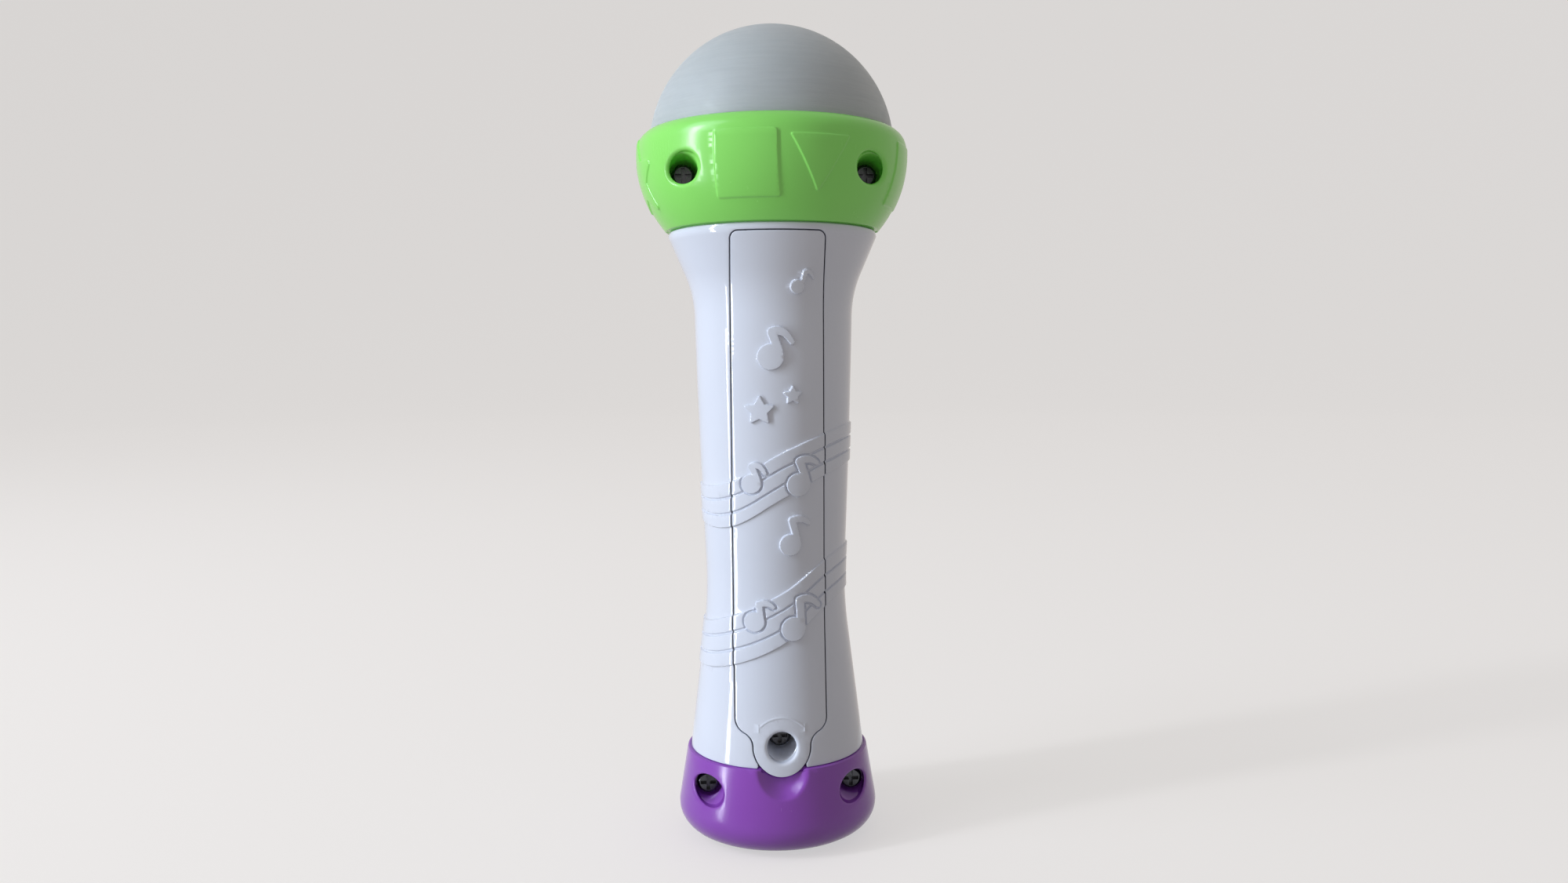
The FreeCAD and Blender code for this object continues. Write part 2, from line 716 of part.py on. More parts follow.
# ---------------------------------------------------------------- green ring
def flank_radius(height, inset="0"):
    """The ring's radius at a height on its lower flank, moved in by an inset."""
    return (f"ring_radius - ring_flank + sqrt((ring_flank - ({inset}))^2"
            f" - (ring_widest - ({height}))^2)")


RING_MOUTH = "dome_radius + fit_gap"
RING_TOP = (f"ring_shoulder_start + sqrt(ring_shoulder^2 - "
            f"(ring_shoulder - ring_radius + {RING_MOUTH})^2)")
DECK_BOTTOM = "dome_centre - 0.2 - dome_flange_height - deck_thickness"
GROOVE_TOP = "dome_centre - 0.2 + seat_gap"


def ring_outer(label):
    """Everything inside the ring's outer line."""
    return turned(label, [
        ("0", "handle_top", None),
        (flank_radius("handle_top"), "handle_top", "ring_flank"),
        ("ring_radius", "ring_widest", None),
        ("ring_radius", "ring_shoulder_start", "ring_shoulder"),
        (RING_MOUTH, RING_TOP, None),
        ("0", RING_TOP, None),
    ])


def ring_wall():
    """The whole ring: a flange under the neck's lip, the outer wall, and the groove for deck and dome."""
    groove = f"{RING_MOUTH} + ring_groove_depth"
    ledge_low = f"{DECK_BOTTOM} - ring_ledge_height"
    wall_high = f"{ledge_low} - 1.5"
    return turned("ring_wall", [
        ("neck_radius + seat_gap", "handle_top", None),
        (flank_radius("handle_top"), "handle_top", "ring_flank"),
        ("ring_radius", "ring_widest", None),
        ("ring_radius", "ring_shoulder_start", "ring_shoulder"),
        (RING_MOUTH, RING_TOP, None),
        (RING_MOUTH, GROOVE_TOP, None),
        (groove, GROOVE_TOP, None),
        (groove, DECK_BOTTOM, None),
        (f"{groove} - ring_ledge_depth", DECK_BOTTOM, None),
        (f"{groove} - ring_ledge_depth", ledge_low, None),
        (flank_radius(wall_high, "wall"), wall_high, "-(ring_flank - wall)"),
        (flank_radius("handle_top + ring_floor", "wall"), "handle_top + ring_floor", None),
        ("neck_radius + seat_gap", "handle_top + ring_floor", None),
    ])


def relief_layer():
    """The thin skin that the ring's raised shapes are taken from."""
    low, high = "handle_top + 1.7", "ring_shoulder_start + 1.6"
    out, into = "-relief_height", "relief_root"

    def shoulder(inset):
        return (f"ring_radius - ring_shoulder + sqrt((ring_shoulder - ({inset}))^2"
                f" - (({high}) - ring_shoulder_start)^2)")

    return turned("relief_layer", [
        (flank_radius(low, into), low, None),
        (flank_radius(low, out), low, f"ring_flank - ({out})"),
        (f"ring_radius - ({out})", "ring_widest", None),
        (f"ring_radius - ({out})", "ring_shoulder_start", f"ring_shoulder - ({out})"),
        (shoulder(out), high, None),
        (shoulder(into), high, f"-(ring_shoulder - ({into}))"),
        (f"ring_radius - ({into})", "ring_shoulder_start", None),
        (f"ring_radius - ({into})", "ring_widest", f"-(ring_flank - ({into}))"),
    ])


def star_outline():
    corners = []
    for number in range(10):
        reach = "star_radius" if number % 2 == 0 else "star_radius * star_inner_share"
        corners.append((f"{reach} * cos(90 + {36 * number})", f"{reach} * sin(90 + {36 * number})", None))
    return corners


def raised_shape(number, kind, angle):
    """A square, triangle, circle or star as a prism that points straight out of the ring."""
    label = f"{kind}_{number}"
    if kind == "square":
        half = "shape_size / 2"
        prism = padded(label, [(f"-{half}", f"-{half}", None), (half, f"-{half}", None),
                               (half, half, None), (f"-{half}", half, None)], HALF)
    elif kind == "triangle":
        half, rise = "shape_size / 2", "shape_size * sqrt(3) / 4"
        prism = padded(label, [("0", f"-{rise}", None), (half, rise, None), (f"-{half}", rise, None)], HALF)
    elif kind == "circle":
        prism = rod(label, "circle_radius", HALF)
    else:
        prism = padded(label, star_outline(), HALF)
    outward = FreeCAD.Rotation(FreeCAD.Vector(0, 0, 1), angle + 90).multiply(
        FreeCAD.Rotation(FreeCAD.Vector(1, 0, 0), 90))
    return place(prism, f"10 * cos({angle})", f"10 * sin({angle})", "shape_z", outward)


# each shape and its direction round the ring, in degrees from +X (the back is at 90)
RING_SHAPES = (("square", 76.7), ("triangle", 106.5), ("square", 162.0), ("star", 11.0),
               ("circle", 336.0), ("triangle", 303.0), ("square", 270.0), ("star", 237.0),
               ("circle", 202.0))

ring_solid = ring_outer("ring_solid")


def ring_halves():
    shapes = [raised_shape(number, *shape) for number, shape in enumerate(RING_SHAPES)]
    relief = common("ring_relief", relief_layer(), fuse("ring_shapes", *shapes))
    ring = fuse("ring_with_relief", ring_wall(), relief)
    bosses, towers, back_cuts, front_cuts = [], [], [], []
    for side, sign in SIDES:
        at = (f"{sign} * ring_screw_x", "ring_screw_z", "ring_screw_seat")
        bosses.append(boss(f"ring_boss_{side}", *at, ring_solid))
        back_cuts += boss_cuts(f"ring_{side}", *at)
        towers.append(tower(f"ring_tower_{side}", *at, ring_solid))
        front_cuts.append(tower_hole(f"ring_tower_hole_{side}", *at))
    back = fuse("ring_back_body", common("ring_back_wall", ring, back_half), *bosses)
    # a tower starts behind the plane between the halves, so the back half is cleared round it
    clear = [rod(f"ring_tower_room_{side}", "tower_radius + seat_gap",
                 "ring_screw_seat - boss_floor", f"{sign} * ring_screw_x", 0, "ring_screw_z", TO_BACK)
             for side, sign in SIDES]
    front = fuse("ring_front_body", common("ring_front_wall", ring, front_half), *towers)
    return cut("ring_back", back, *back_cuts, *clear), cut("ring_front", front, *front_cuts)


# ---------------------------------------------------------------- dome, light deck, light board
def make_dome():
    inner = "dome_radius - dome_wall"
    low = f"{DECK_BOTTOM} + deck_thickness"
    flange_top = f"{low} + dome_flange_height"
    return turned("dome_diffuser", [
        (inner, low, None),
        ("dome_radius + dome_flange", low, None),
        ("dome_radius + dome_flange", flange_top, None),
        ("dome_radius", flange_top, None),
        ("dome_radius", "dome_centre", "dome_radius"),
        ("0", "dome_centre + dome_radius", None),
        ("0", f"dome_centre + {inner}", f"-({inner})"),
        (inner, "dome_centre", None),
    ])


def make_light_deck():
    disc = rod("deck_disc", "dome_radius + dome_flange", "deck_thickness", 0, 0, DECK_BOTTOM)
    cuts = [rod("deck_wire_hole", "deck_wire_hole", TALL, 0, "-deck_wire_hole * 2", "handle_top")]
    for side, sign in SIDES:
        cuts.append(rod(f"deck_notch_{side}", "bore_radius + boss_wall + seat_gap", HALF,
                        f"{sign} * ring_screw_x", "ring_screw_seat - boss_floor - seat_gap",
                        "ring_screw_z", TO_BACK))
    return cut("light_deck", disc, *cuts)


BOARD_LOW = f"{DECK_BOTTOM} + deck_thickness"
BOARD_HIGH = f"{BOARD_LOW} + light_board_thickness"


def make_leds():
    leds = []
    for number in range(4):
        angle = f"(45 + 90 * {number})"
        leds.append(turned(f"led_{number}", [
            ("0", "0", None),
            ("led_radius * 1.15", "0", None),
            ("led_radius * 1.15", "1", None),
            ("led_radius", "1", None),
            ("led_radius", "led_height", "led_radius"),
            ("0", "led_height + led_radius", None),
        ], f"led_circle * cos{angle}", f"led_circle * sin{angle}", BOARD_HIGH))
    return group("leds", leds)


def make_microphone_boot():
    outer, inner = "capsule_radius + boot_wall", "capsule_radius"
    height = "boot_floor + capsule_height - 0.5"
    return turned("microphone_boot", [
        ("0", "0", None), (outer, "0", None), (outer, height, None), (inner, height, None),
        (inner, "boot_floor", None), ("0", "boot_floor", None),
    ], 0, 0, BOARD_HIGH)


def make_microphone_capsule():
    can = rod("capsule_can", "capsule_radius", "capsule_height", 0, 0, f"{BOARD_HIGH} + boot_floor")
    port = rod("capsule_port", "capsule_radius / 4", "1", 0, 0,
               f"{BOARD_HIGH} + boot_floor + capsule_height - 0.6")
    return cut("microphone_capsule", can, port)


# ---------------------------------------------------------------- purple base
def base_side():
    """The base's outer line from its flat bottom to its top edge."""
    return [
        ("foot_radius", "0", None),
        ("foot_edge", "foot_rise", "foot_round"),
        ("base_radius", "base_widest", None),
        ("base_top_radius", "handle_bottom - base_edge", "base_edge"),
        ("base_top_radius - base_edge", "handle_bottom", None),
    ]


base_solid = turned("base_solid", [("0", "0", None), *base_side(), ("0", "handle_bottom", None)])


def base_wall():
    lip = "base_top_radius - wall"
    under_lip = f"{lip} + spigot_bead + fit_gap"
    lip_z = "handle_bottom - base_lip_height"
    return turned("base_wall", [
        ("0", "0", None),
        *base_side(),
        (lip, "handle_bottom", None),
        (lip, lip_z, None),
        (under_lip, lip_z, None),
        (under_lip, "handle_bottom - spigot_drop - seat_gap", None),
        ("base_radius - wall", "base_widest", None),
        ("foot_edge - wall / 2", "foot_rise + wall", None),
        ("foot_radius", "base_floor", None),
        ("0", "base_floor", None),
    ])


def base_halves():
    bosses, towers, back_cuts, front_cuts, room = [], [], [], [], []
    for side, sign in SIDES:
        at = (f"{sign} * base_screw_x", "base_screw_z", "base_screw_seat")
        bosses.append(boss(f"base_boss_{side}", *at, base_solid))
        back_cuts += boss_cuts(f"base_{side}", *at)
        towers.append(tower(f"base_tower_{side}", *at, base_solid))
        front_cuts.append(tower_hole(f"base_tower_hole_{side}", *at))
        room.append(rod(f"base_tower_room_{side}", "tower_radius + seat_gap",
                        "base_screw_seat - boss_floor", f"{sign} * base_screw_x", 0, "base_screw_z",
                        TO_BACK))
    scoop = doc.addObject("Part::Sphere", "scoop")
    bind(scoop, Radius="scoop_round")
    place(scoop, 0, "base_top_radius + sqrt(scoop_round^2 - scoop_radius^2)", "scoop_z")
    backing = common("scoop_backing", scoop_box("scoop_backing_box", "0", "handle_bottom"), base_solid)
    wall = base_wall()
    back = fuse("base_back_body", common("base_back_wall", wall, back_half), backing, *bosses)
    front = fuse("base_front_body", common("base_front_wall", wall, front_half), *towers)
    return (cut("base_back", back, *back_cuts, *room, tab_hole, scoop),
            cut("base_front", front, *front_cuts))


# ---------------------------------------------------------------- cells and their contacts
CELL_Y = "tray_floor_y + cell_play + cell_radius"
LOWER_CELL = "cell_bay_bottom + contact_thickness + spring_height + cell_play"


def make_cell(label, low):
    step = "cell_radius * 0.06"
    return turned(label, [
        ("0", "0", None),
        (f"cell_radius - {step}", "0", f"{step}"),
        ("cell_radius", step, None),
        ("cell_radius", f"cell_length - {step}", f"{step}"),
        (f"cell_radius - {step}", "cell_length", None),
        ("cell_nub_radius", "cell_length", None),
        ("cell_nub_radius", "cell_length + cell_nub_height", None),
        ("0", "cell_length + cell_nub_height", None),
    ], 0, CELL_Y, low)


def contact_sheet(label, x, low):
    """A bent metal sheet against an end wall of the cell bay, with a tab through the tray's floor."""
    sheet_part = box(label + "_sheet", ("-contact_half_width - 1", "tray_floor_y", low),
                     ("contact_half_width + 1", f"{CELL_Y} + cell_radius / 2", f"{low} + contact_thickness"))
    tab = box(label + "_tab", (f"{x} - contact_tab / 2", "tray_floor_y - tray_floor - 0.7", low),
              (f"{x} + contact_tab / 2", "tray_floor_y", f"{low} + contact_thickness"))
    return fuse(label + "_blank", sheet_part, tab)


SPRING_TAB_X = "-tray_half_width + contact_tab"
PLATE_TAB_X = "-shell_screw_x"
PLATE_LOW = f"{CELL_BAY_TOP} - contact_thickness"


def make_spring_contact():
    coil = doc.addObject("Part::Feature", "contact_coil")
    wire = size("spring_wire")
    height = size("spring_height") - 2 * wire
    path = Part.makeHelix(size("spring_pitch"), height, size("spring_radius"))
    start = FreeCAD.Vector(size("spring_radius"), 0, 0)
    ring = Part.Wire([Part.makeCircle(wire, start, FreeCAD.Vector(0, 1, 0))])
    coil.Shape = Part.Wire(path).makePipeShell([ring], True, True)
    place(coil, 0, CELL_Y, "cell_bay_bottom + contact_thickness + spring_wire * 0.9")
    return fuse("spring_contact", contact_sheet("spring", SPRING_TAB_X, "cell_bay_bottom"), coil)


def make_plate_contact():
    return cut("plate_contact", contact_sheet("plate", PLATE_TAB_X, PLATE_LOW),
               rod("plate_dimple", "cell_nub_radius / 2", "contact_thickness / 2", 0, CELL_Y, PLATE_LOW))


# ---------------------------------------------------------------- main board and what is on it
BOARD_BACK_Y = "board_front_y + board_thickness"
BOARD_SCREWS = [(f"{side}_{end}", f"{sign} * board_screw_x", height)
                for side, sign in SIDES
                for end, height in (("low", "board_bottom + board_screw_inset"),
                                    ("high", "board_top - board_screw_inset"))]


def make_main_board():
    plate = box("board_plate", ("-board_half_width", "board_front_y", "board_bottom"),
                ("board_half_width", BOARD_BACK_Y, "board_top"))
    holes = [rod(f"board_hole_{name}", "small_shank_radius + hole_gap", 4, x, "board_front_y - 1", z, TO_BACK)
             for name, x, z in BOARD_SCREWS]
    return cut("main_board", plate, *holes)


def make_sound_chip():
    """A chip under a drop of resin."""
    rise = "(chip_height - chip_skirt)"
    return turned("sound_chip", [
        ("0", "0", None),
        ("chip_radius", "0", None),
        ("chip_radius", "chip_skirt", f"(chip_radius^2 + {rise}^2) / (2 * {rise})"),
        ("0", "chip_height", None),
    ], 0, BOARD_BACK_Y, "chip_z", TO_BACK)


def make_capacitor():
    return turned("capacitor", [
        ("0", "0", None), ("capacitor_radius", "0", None),
        ("capacitor_radius", "capacitor_length - 0.4", None),
        ("capacitor_radius - 0.4", "capacitor_length", None), ("0", "capacitor_length", None),
    ], "board_half_width / 2", f"{BOARD_BACK_Y} + capacitor_radius", "capacitor_z")


def make_keypad():
    """One rubber sheet with a dome under each button."""
    sheet_part = box("keypad_sheet_part", ("-keypad_half_width", "board_front_y - keypad_sheet",
                                           "effect_z - keypad_half_width"),
                     ("keypad_half_width", "board_front_y", "record_z + keypad_half_width"))
    domes = []
    for name, z in (("record", "record_z"), ("song", "song_z"), ("effect", "effect_z")):
        cone = doc.addObject("Part::Cone", f"{name}_dome")
        bind(cone, Radius1="keypad_dome_radius", Radius2="keypad_dome_radius * 0.65", Height="keypad_rise")
        domes.append(place(cone, 0, "board_front_y", z, TO_FRONT))
    return fuse("keypad", sheet_part, *domes)


# ---------------------------------------------------------------- buttons
cap_skin = handle_core("cap_skin", "button_proud")
cap_under = handle_core("cap_under", "button_proud - cap_wall")
KEYPAD_TOP_Y = "(board_front_y - keypad_rise)"


def make_button(name, radius, height, flange_y):
    """A cap flush with the handle's curve, a flange that keeps it in, and a stem onto its rubber dome."""
    stem_start = f"{KEYPAD_TOP_Y} - seat_gap"
    cap_start = f"-{flange_y}"
    cap = cut(f"{name}_cap",
              common(f"{name}_cap_blank",
                     rod(f"{name}_cap_rod", radius, HALF, 0, cap_start, height, TO_FRONT), cap_skin),
              common(f"{name}_cap_hollow",
                     rod(f"{name}_hollow_rod", f"{radius} - cap_wall", HALF, 0, cap_start, height, TO_FRONT),
                     cap_under))
    flange = cut(f"{name}_flange",
                 rod(f"{name}_flange_disc", f"{radius} + flange_width", "flange_height", 0,
                     f"{cap_start} + flange_height", height, TO_FRONT),
                 rod(f"{name}_flange_hole", f"{radius} - cap_wall", "flange_height + 2", 0,
                     f"{cap_start} + flange_height + 1", height, TO_FRONT))
    stem = common(f"{name}_stem", cap_skin,
                  rod(f"{name}_stem_rod", "keypad_dome_radius * 0.6", HALF, 0, stem_start, height, TO_FRONT))
    return fuse(f"{name}_button", cap, flange, stem)


def make_bezel():
    """The raised ring round the record button, which lies on the handle."""
    ring = cut("bezel_ring", rod("bezel_outer", "record_radius + hole_gap + bezel_width", HALF, 0,
                                 "-neck_radius / 2", "record_z", TO_FRONT),
               rod("bezel_inner", "record_radius + hole_gap", HALF, 0, "0", "record_z", TO_FRONT))
    return cut("record_bezel", common("bezel_band", ring, handle_core("bezel_skin", "bezel_proud")),
               door_skin)


# ---------------------------------------------------------------- mode knob and its switch
def make_mode_knob():
    low = "knob_z - knob_half_height"
    cap = cut("knob_cap", common("knob_cap_block", box(
        "knob_cap_box", ("-knob_half_width", -HALF, low),
        ("knob_half_width", "-neck_radius / 2", "knob_z + knob_half_height")),
        handle_core("knob_skin", "knob_proud")), handle_core("knob_under", "knob_lift"))
    neck = box("knob_neck",
               ("-knob_neck_half_width", "-waist_radius - knob_lift - 0.6", "knob_z - knob_neck_half_height"),
               ("knob_neck_half_width", "board_front_y - switch_height - fit_gap",
                "knob_z + knob_neck_half_height"))
    plate = box("knob_plate", ("-knob_plate_half_width", "-knob_plate_y", "knob_z - knob_neck_half_height"),
                ("knob_plate_half_width", "-knob_plate_y + knob_plate_thickness",
                 "knob_z + knob_neck_half_height"))
    ribs = [box(f"knob_rib_{number}",
                ("-knob_half_width + 0.4", "-waist_radius - knob_proud - 0.35",
                 f"knob_z + {number} * 1.8 - 0.4"),
                ("knob_half_width - 0.4", "-waist_radius - knob_proud + 0.6",
                 f"knob_z + {number} * 1.8 + 0.4")) for number in (-1, 0, 1)]
    rib_skin = common("knob_ribs", fuse("knob_rib_boxes", *ribs),
                      handle_core("rib_skin", "knob_proud + 0.35"))
    return fuse("mode_knob", cap, neck, plate, rib_skin)


def make_slide_switch():
    return box("slide_switch", ("-switch_half_width", "board_front_y - switch_height",
                                "knob_z - switch_half_height"),
               ("switch_half_width", "board_front_y", "knob_z + switch_half_height"))


# ---------------------------------------------------------------- speaker, turned to the front
def make_speaker():
    at = (0, "speaker_back_y", "speaker_z", TO_FRONT)
    plate_top = "(magnet_height + pole_plate)"
    rim_top = "speaker_depth - speaker_skin"
    rim_in = "speaker_radius - speaker_rim_width"
    magnet = turned("speaker_magnet", [
        ("0", "0", None), ("magnet_radius", "0", None), ("magnet_radius", "magnet_height", None),
        ("magnet_radius + 0.6", "magnet_height", None), ("magnet_radius + 0.6", plate_top, None),
        ("magnet_radius / 3", plate_top, None), ("magnet_radius / 3", f"{plate_top} + 1.3", None),
        ("0", f"{plate_top} + 1.3", None),
    ], *at)
    basket = turned("speaker_basket", [
        ("magnet_radius", plate_top, None), ("magnet_radius + 0.6", plate_top, None),
        ("speaker_radius - 0.5", f"{rim_top} - speaker_rim", None),
        ("speaker_radius", f"{rim_top} - speaker_rim", None),
        ("speaker_radius", rim_top, None), (rim_in, rim_top, None),
        (rim_in, f"{rim_top} - speaker_rim / 2", None), ("magnet_radius", f"{plate_top} + 0.6", None),
    ], *at)
    terminal = box("speaker_terminal",
                   ("-3", f"speaker_back_y - {plate_top} - 0.6", "speaker_z + magnet_radius"),
                   ("3", f"speaker_back_y - {plate_top}", "speaker_z + magnet_radius + 2.6"))
    cone = turned("speaker_cone", [
        ("0", f"{plate_top} + 1.4", None), ("dust_cap_radius + 0.3", f"{plate_top} + 1.4", None),
        (f"{rim_in} - 0.6", rim_top, None), ("speaker_radius - 0.1", rim_top, None),
        ("speaker_radius - 0.1", "speaker_depth", None), (f"{rim_in} - 0.9", "speaker_depth", None),
        ("dust_cap_radius", f"{plate_top} + 1.8",
         "(dust_cap_radius^2 + dust_cap_rise^2) / (2 * dust_cap_rise)"),
        ("0", f"{plate_top} + 1.8 + dust_cap_rise", None),
    ], *at)
    return magnet, fuse("speaker_frame", basket, terminal), cone


# ---------------------------------------------------------------- wires
def wire_solid(label, points):
    """A round wire along straight runs joined by tangent arcs as large as the runs allow."""
    corners = [FreeCAD.Vector(size(x), size(y), size(z)) for x, y, z in points]
    edges, at = [], corners[0]
    for before, corner, after in zip(corners, corners[1:], corners[2:]):
        into, out = (corner - before), (after - corner)
        shorter = min(into.Length, out.Length)
        half_turn = into.getAngle(out) / 2
        radius = 0.45 * shorter / math.tan(half_turn)
        reach = radius * math.tan(half_turn)
        arc_start = corner - into.normalize() * reach
        arc_end = corner + out.normalize() * reach
        inward = (out - into).normalize()
        middle = corner + inward * (radius / math.cos(half_turn) - radius)
        edges += [Part.LineSegment(at, arc_start).toShape(), Part.Arc(arc_start, middle, arc_end).toShape()]
        at = arc_end
    edges.append(Part.LineSegment(at, corners[-1]).toShape())
    path = Part.Wire(edges)
    section = Part.Wire([Part.makeCircle(size("wire_radius"), corners[0], corners[1] - corners[0])])
    wire = doc.addObject("Part::Feature", label)
    wire.Shape = path.makePipeShell([section], True, False)
    drawn = math.pi * size("wire_radius") ** 2 * path.Length
    if abs(wire.Shape.Volume - drawn) > 0.01 * drawn:
        raise RuntimeError(f"{label}: the sweep's volume is wrong")
    return wire


LANE_Y = f"({BOARD_BACK_Y} + 2.0)"
TAB_END_Y = "tray_floor_y - tray_floor - 0.7"


def make_battery_wires():
    spring_z = "cell_bay_bottom + contact_thickness / 2"
    lane_x = "-board_half_width + wire_radius"
    low = wire_solid("battery_wire_low", [
        (SPRING_TAB_X, TAB_END_Y, spring_z), (SPRING_TAB_X, LANE_Y, spring_z),
        (lane_x, LANE_Y, f"{spring_z} + 4"), (lane_x, LANE_Y, "board_bottom + 9"),
        (lane_x, BOARD_BACK_Y, "board_bottom + 9"),
    ])
    plate_z = f"{PLATE_LOW} + contact_thickness / 2"
    high = wire_solid("battery_wire_high", [
        (PLATE_TAB_X, TAB_END_Y, plate_z), (PLATE_TAB_X, LANE_Y, plate_z),
        (PLATE_TAB_X, LANE_Y, "board_top - 8"), (PLATE_TAB_X, BOARD_BACK_Y, "board_top - 8"),
    ])
    return group("battery_wires", [low, high])


def make_speaker_wires():
    start_y = "speaker_back_y - (magnet_height + pole_plate)"
    start_z = "speaker_z + magnet_radius + 1.6"
    wires = [wire_solid(f"speaker_wire_{number}", [
        (f"{number} * wire_pitch", start_y, start_z), (f"{number} * wire_pitch", LANE_Y, start_z),
        (f"{number} * wire_pitch", LANE_Y, "board_bottom + 4"),
        (f"{number} * wire_pitch", BOARD_BACK_Y, "board_bottom + 4"),
    ]) for number in (-1, 1)]
    return group("speaker_wires", wires)


def make_light_wires():
    hole_y = "-deck_wire_hole * 2"
    wires = [wire_solid(f"light_wire_{number + 1}", [
        (f"{number} * wire_pitch", BOARD_BACK_Y, "board_top - 4"),
        (f"{number} * wire_pitch", LANE_Y, "board_top - 4"),
        (f"{number} * wire_pitch", LANE_Y, "handle_top"),
        (f"{number} * wire_pitch", hole_y, "handle_top + 7"),
        (f"{number} * wire_pitch", hole_y, BOARD_LOW),
    ]) for number in (-1, 0, 1)]
    return group("light_wires", wires)


# ---------------------------------------------------------------- the assembly
ring_back, ring_front = ring_halves()
base_back, base_front = base_halves()
magnet, speaker_frame, speaker_cone = make_speaker()

nodes = [
    make_handle_back(), make_handle_front(), ring_back, ring_front, base_back, base_front,
    make_dome(), make_light_deck(),
    rod("light_board", "light_board_radius", "light_board_thickness", 0, 0, BOARD_LOW),
    make_leds(), make_microphone_boot(), make_microphone_capsule(),
    make_battery_door(), make_cell_pad(), screw("door_screw", 0, "door_screw_seat", "tab_z"),
    group("ring_screws", [screw(f"ring_screw_{side}", f"{sign} * ring_screw_x", "ring_screw_seat",
                                "ring_screw_z") for side, sign in SIDES]),
    group("base_screws", [screw(f"base_screw_{side}", f"{sign} * base_screw_x", "base_screw_seat",
                                "base_screw_z") for side, sign in SIDES]),
    group("handle_screws", [screw(f"handle_screw_{side}", f"{sign} * shell_screw_x", "tray_floor_y",
                                  "shell_screw_z", ("small_head_radius", "small_head_height"),
                                  ("small_shank_radius", "small_shank_length")) for side, sign in SIDES]),
    group("board_screws", [screw(f"board_screw_{name}", x, BOARD_BACK_Y, z,
                                 ("small_head_radius", "small_head_height"),
                                 ("small_shank_radius", "board_screw_length"))
                           for name, x, z in BOARD_SCREWS]),
    make_cell("lower_cell", LOWER_CELL),
    make_cell("upper_cell", f"{LOWER_CELL} + cell_length + cell_nub_height"),
    make_spring_contact(), make_plate_contact(),
    make_main_board(), make_sound_chip(), make_capacitor(), make_keypad(),
    make_button("record", "record_radius", "record_z", "small_flange_y"),
    make_button("song", "small_button_radius", "song_z", "small_flange_y"),
    make_button("effect", "small_button_radius", "effect_z", "small_flange_y"),
    make_bezel(), make_mode_knob(), make_slide_switch(),
    magnet, speaker_frame, speaker_cone,
    make_battery_wires(), make_speaker_wires(), make_light_wires(),
]

doc.recompute()
for item in doc.Objects:
    if {"Invalid", "Error"} & set(item.State):
        raise RuntimeError(f"{item.Label}: {item.State}")
os.makedirs("parts", exist_ok=True)
for node in nodes:
    if node.Shape.isNull() or not node.Shape.isValid() or not node.Shape.Solids:
        raise RuntimeError(f"{node.Label}: no valid solid")
    node.Shape.exportStep(f"parts/{node.Label}.step")
    print(f"{node.Label}: {len(node.Shape.Solids)} solids, {node.Shape.Volume:.0f} mm3")
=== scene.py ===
"""Looks of the toy microphone: materials, detailed outer shells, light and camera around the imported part.

Lengths are millimetres until a mesh is made. Angles run from +X, so 90 degrees is the back (+Y).
"""

import json
import math

import bmesh
import bpy
import numpy as np
from mathutils import Matrix, Vector
from mathutils.geometry import delaunay_2d_cdt
from mathutils.kdtree import KDTree


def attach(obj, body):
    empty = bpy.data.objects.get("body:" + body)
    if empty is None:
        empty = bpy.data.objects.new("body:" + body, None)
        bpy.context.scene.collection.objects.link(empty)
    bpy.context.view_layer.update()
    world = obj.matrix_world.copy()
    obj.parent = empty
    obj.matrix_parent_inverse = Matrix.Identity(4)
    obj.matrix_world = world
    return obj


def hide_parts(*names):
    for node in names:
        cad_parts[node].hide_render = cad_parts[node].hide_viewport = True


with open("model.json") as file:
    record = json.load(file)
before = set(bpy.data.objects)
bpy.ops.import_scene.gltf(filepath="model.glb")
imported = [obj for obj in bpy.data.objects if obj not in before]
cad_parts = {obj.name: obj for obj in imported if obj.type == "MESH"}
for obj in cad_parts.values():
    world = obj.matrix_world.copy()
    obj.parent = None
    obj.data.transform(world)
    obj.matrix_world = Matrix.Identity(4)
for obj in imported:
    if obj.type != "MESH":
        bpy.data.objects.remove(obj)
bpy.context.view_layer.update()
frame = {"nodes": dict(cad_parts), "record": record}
NODES = frame["nodes"]
MM = 0.001


def add(name, data):
    """A new object in the scene."""
    obj = bpy.data.objects.new(name, data)
    bpy.context.scene.collection.objects.link(obj)
    return obj


# ---- materials
def put(tree, socket, value):
    """Set a socket to a number or a colour, or link another node's output to it."""
    if hasattr(value, "is_output"):
        tree.links.new(value, socket)
    elif isinstance(value, tuple):
        socket.default_value = (*value, 1) if socket.type == "RGBA" else value
    else:
        socket.default_value = value


def math_node(tree, operation, *values):
    node = tree.nodes.new("ShaderNodeMath")
    node.operation = operation
    for socket, value in zip(node.inputs, values):
        put(tree, socket, value)
    return node.outputs[0]


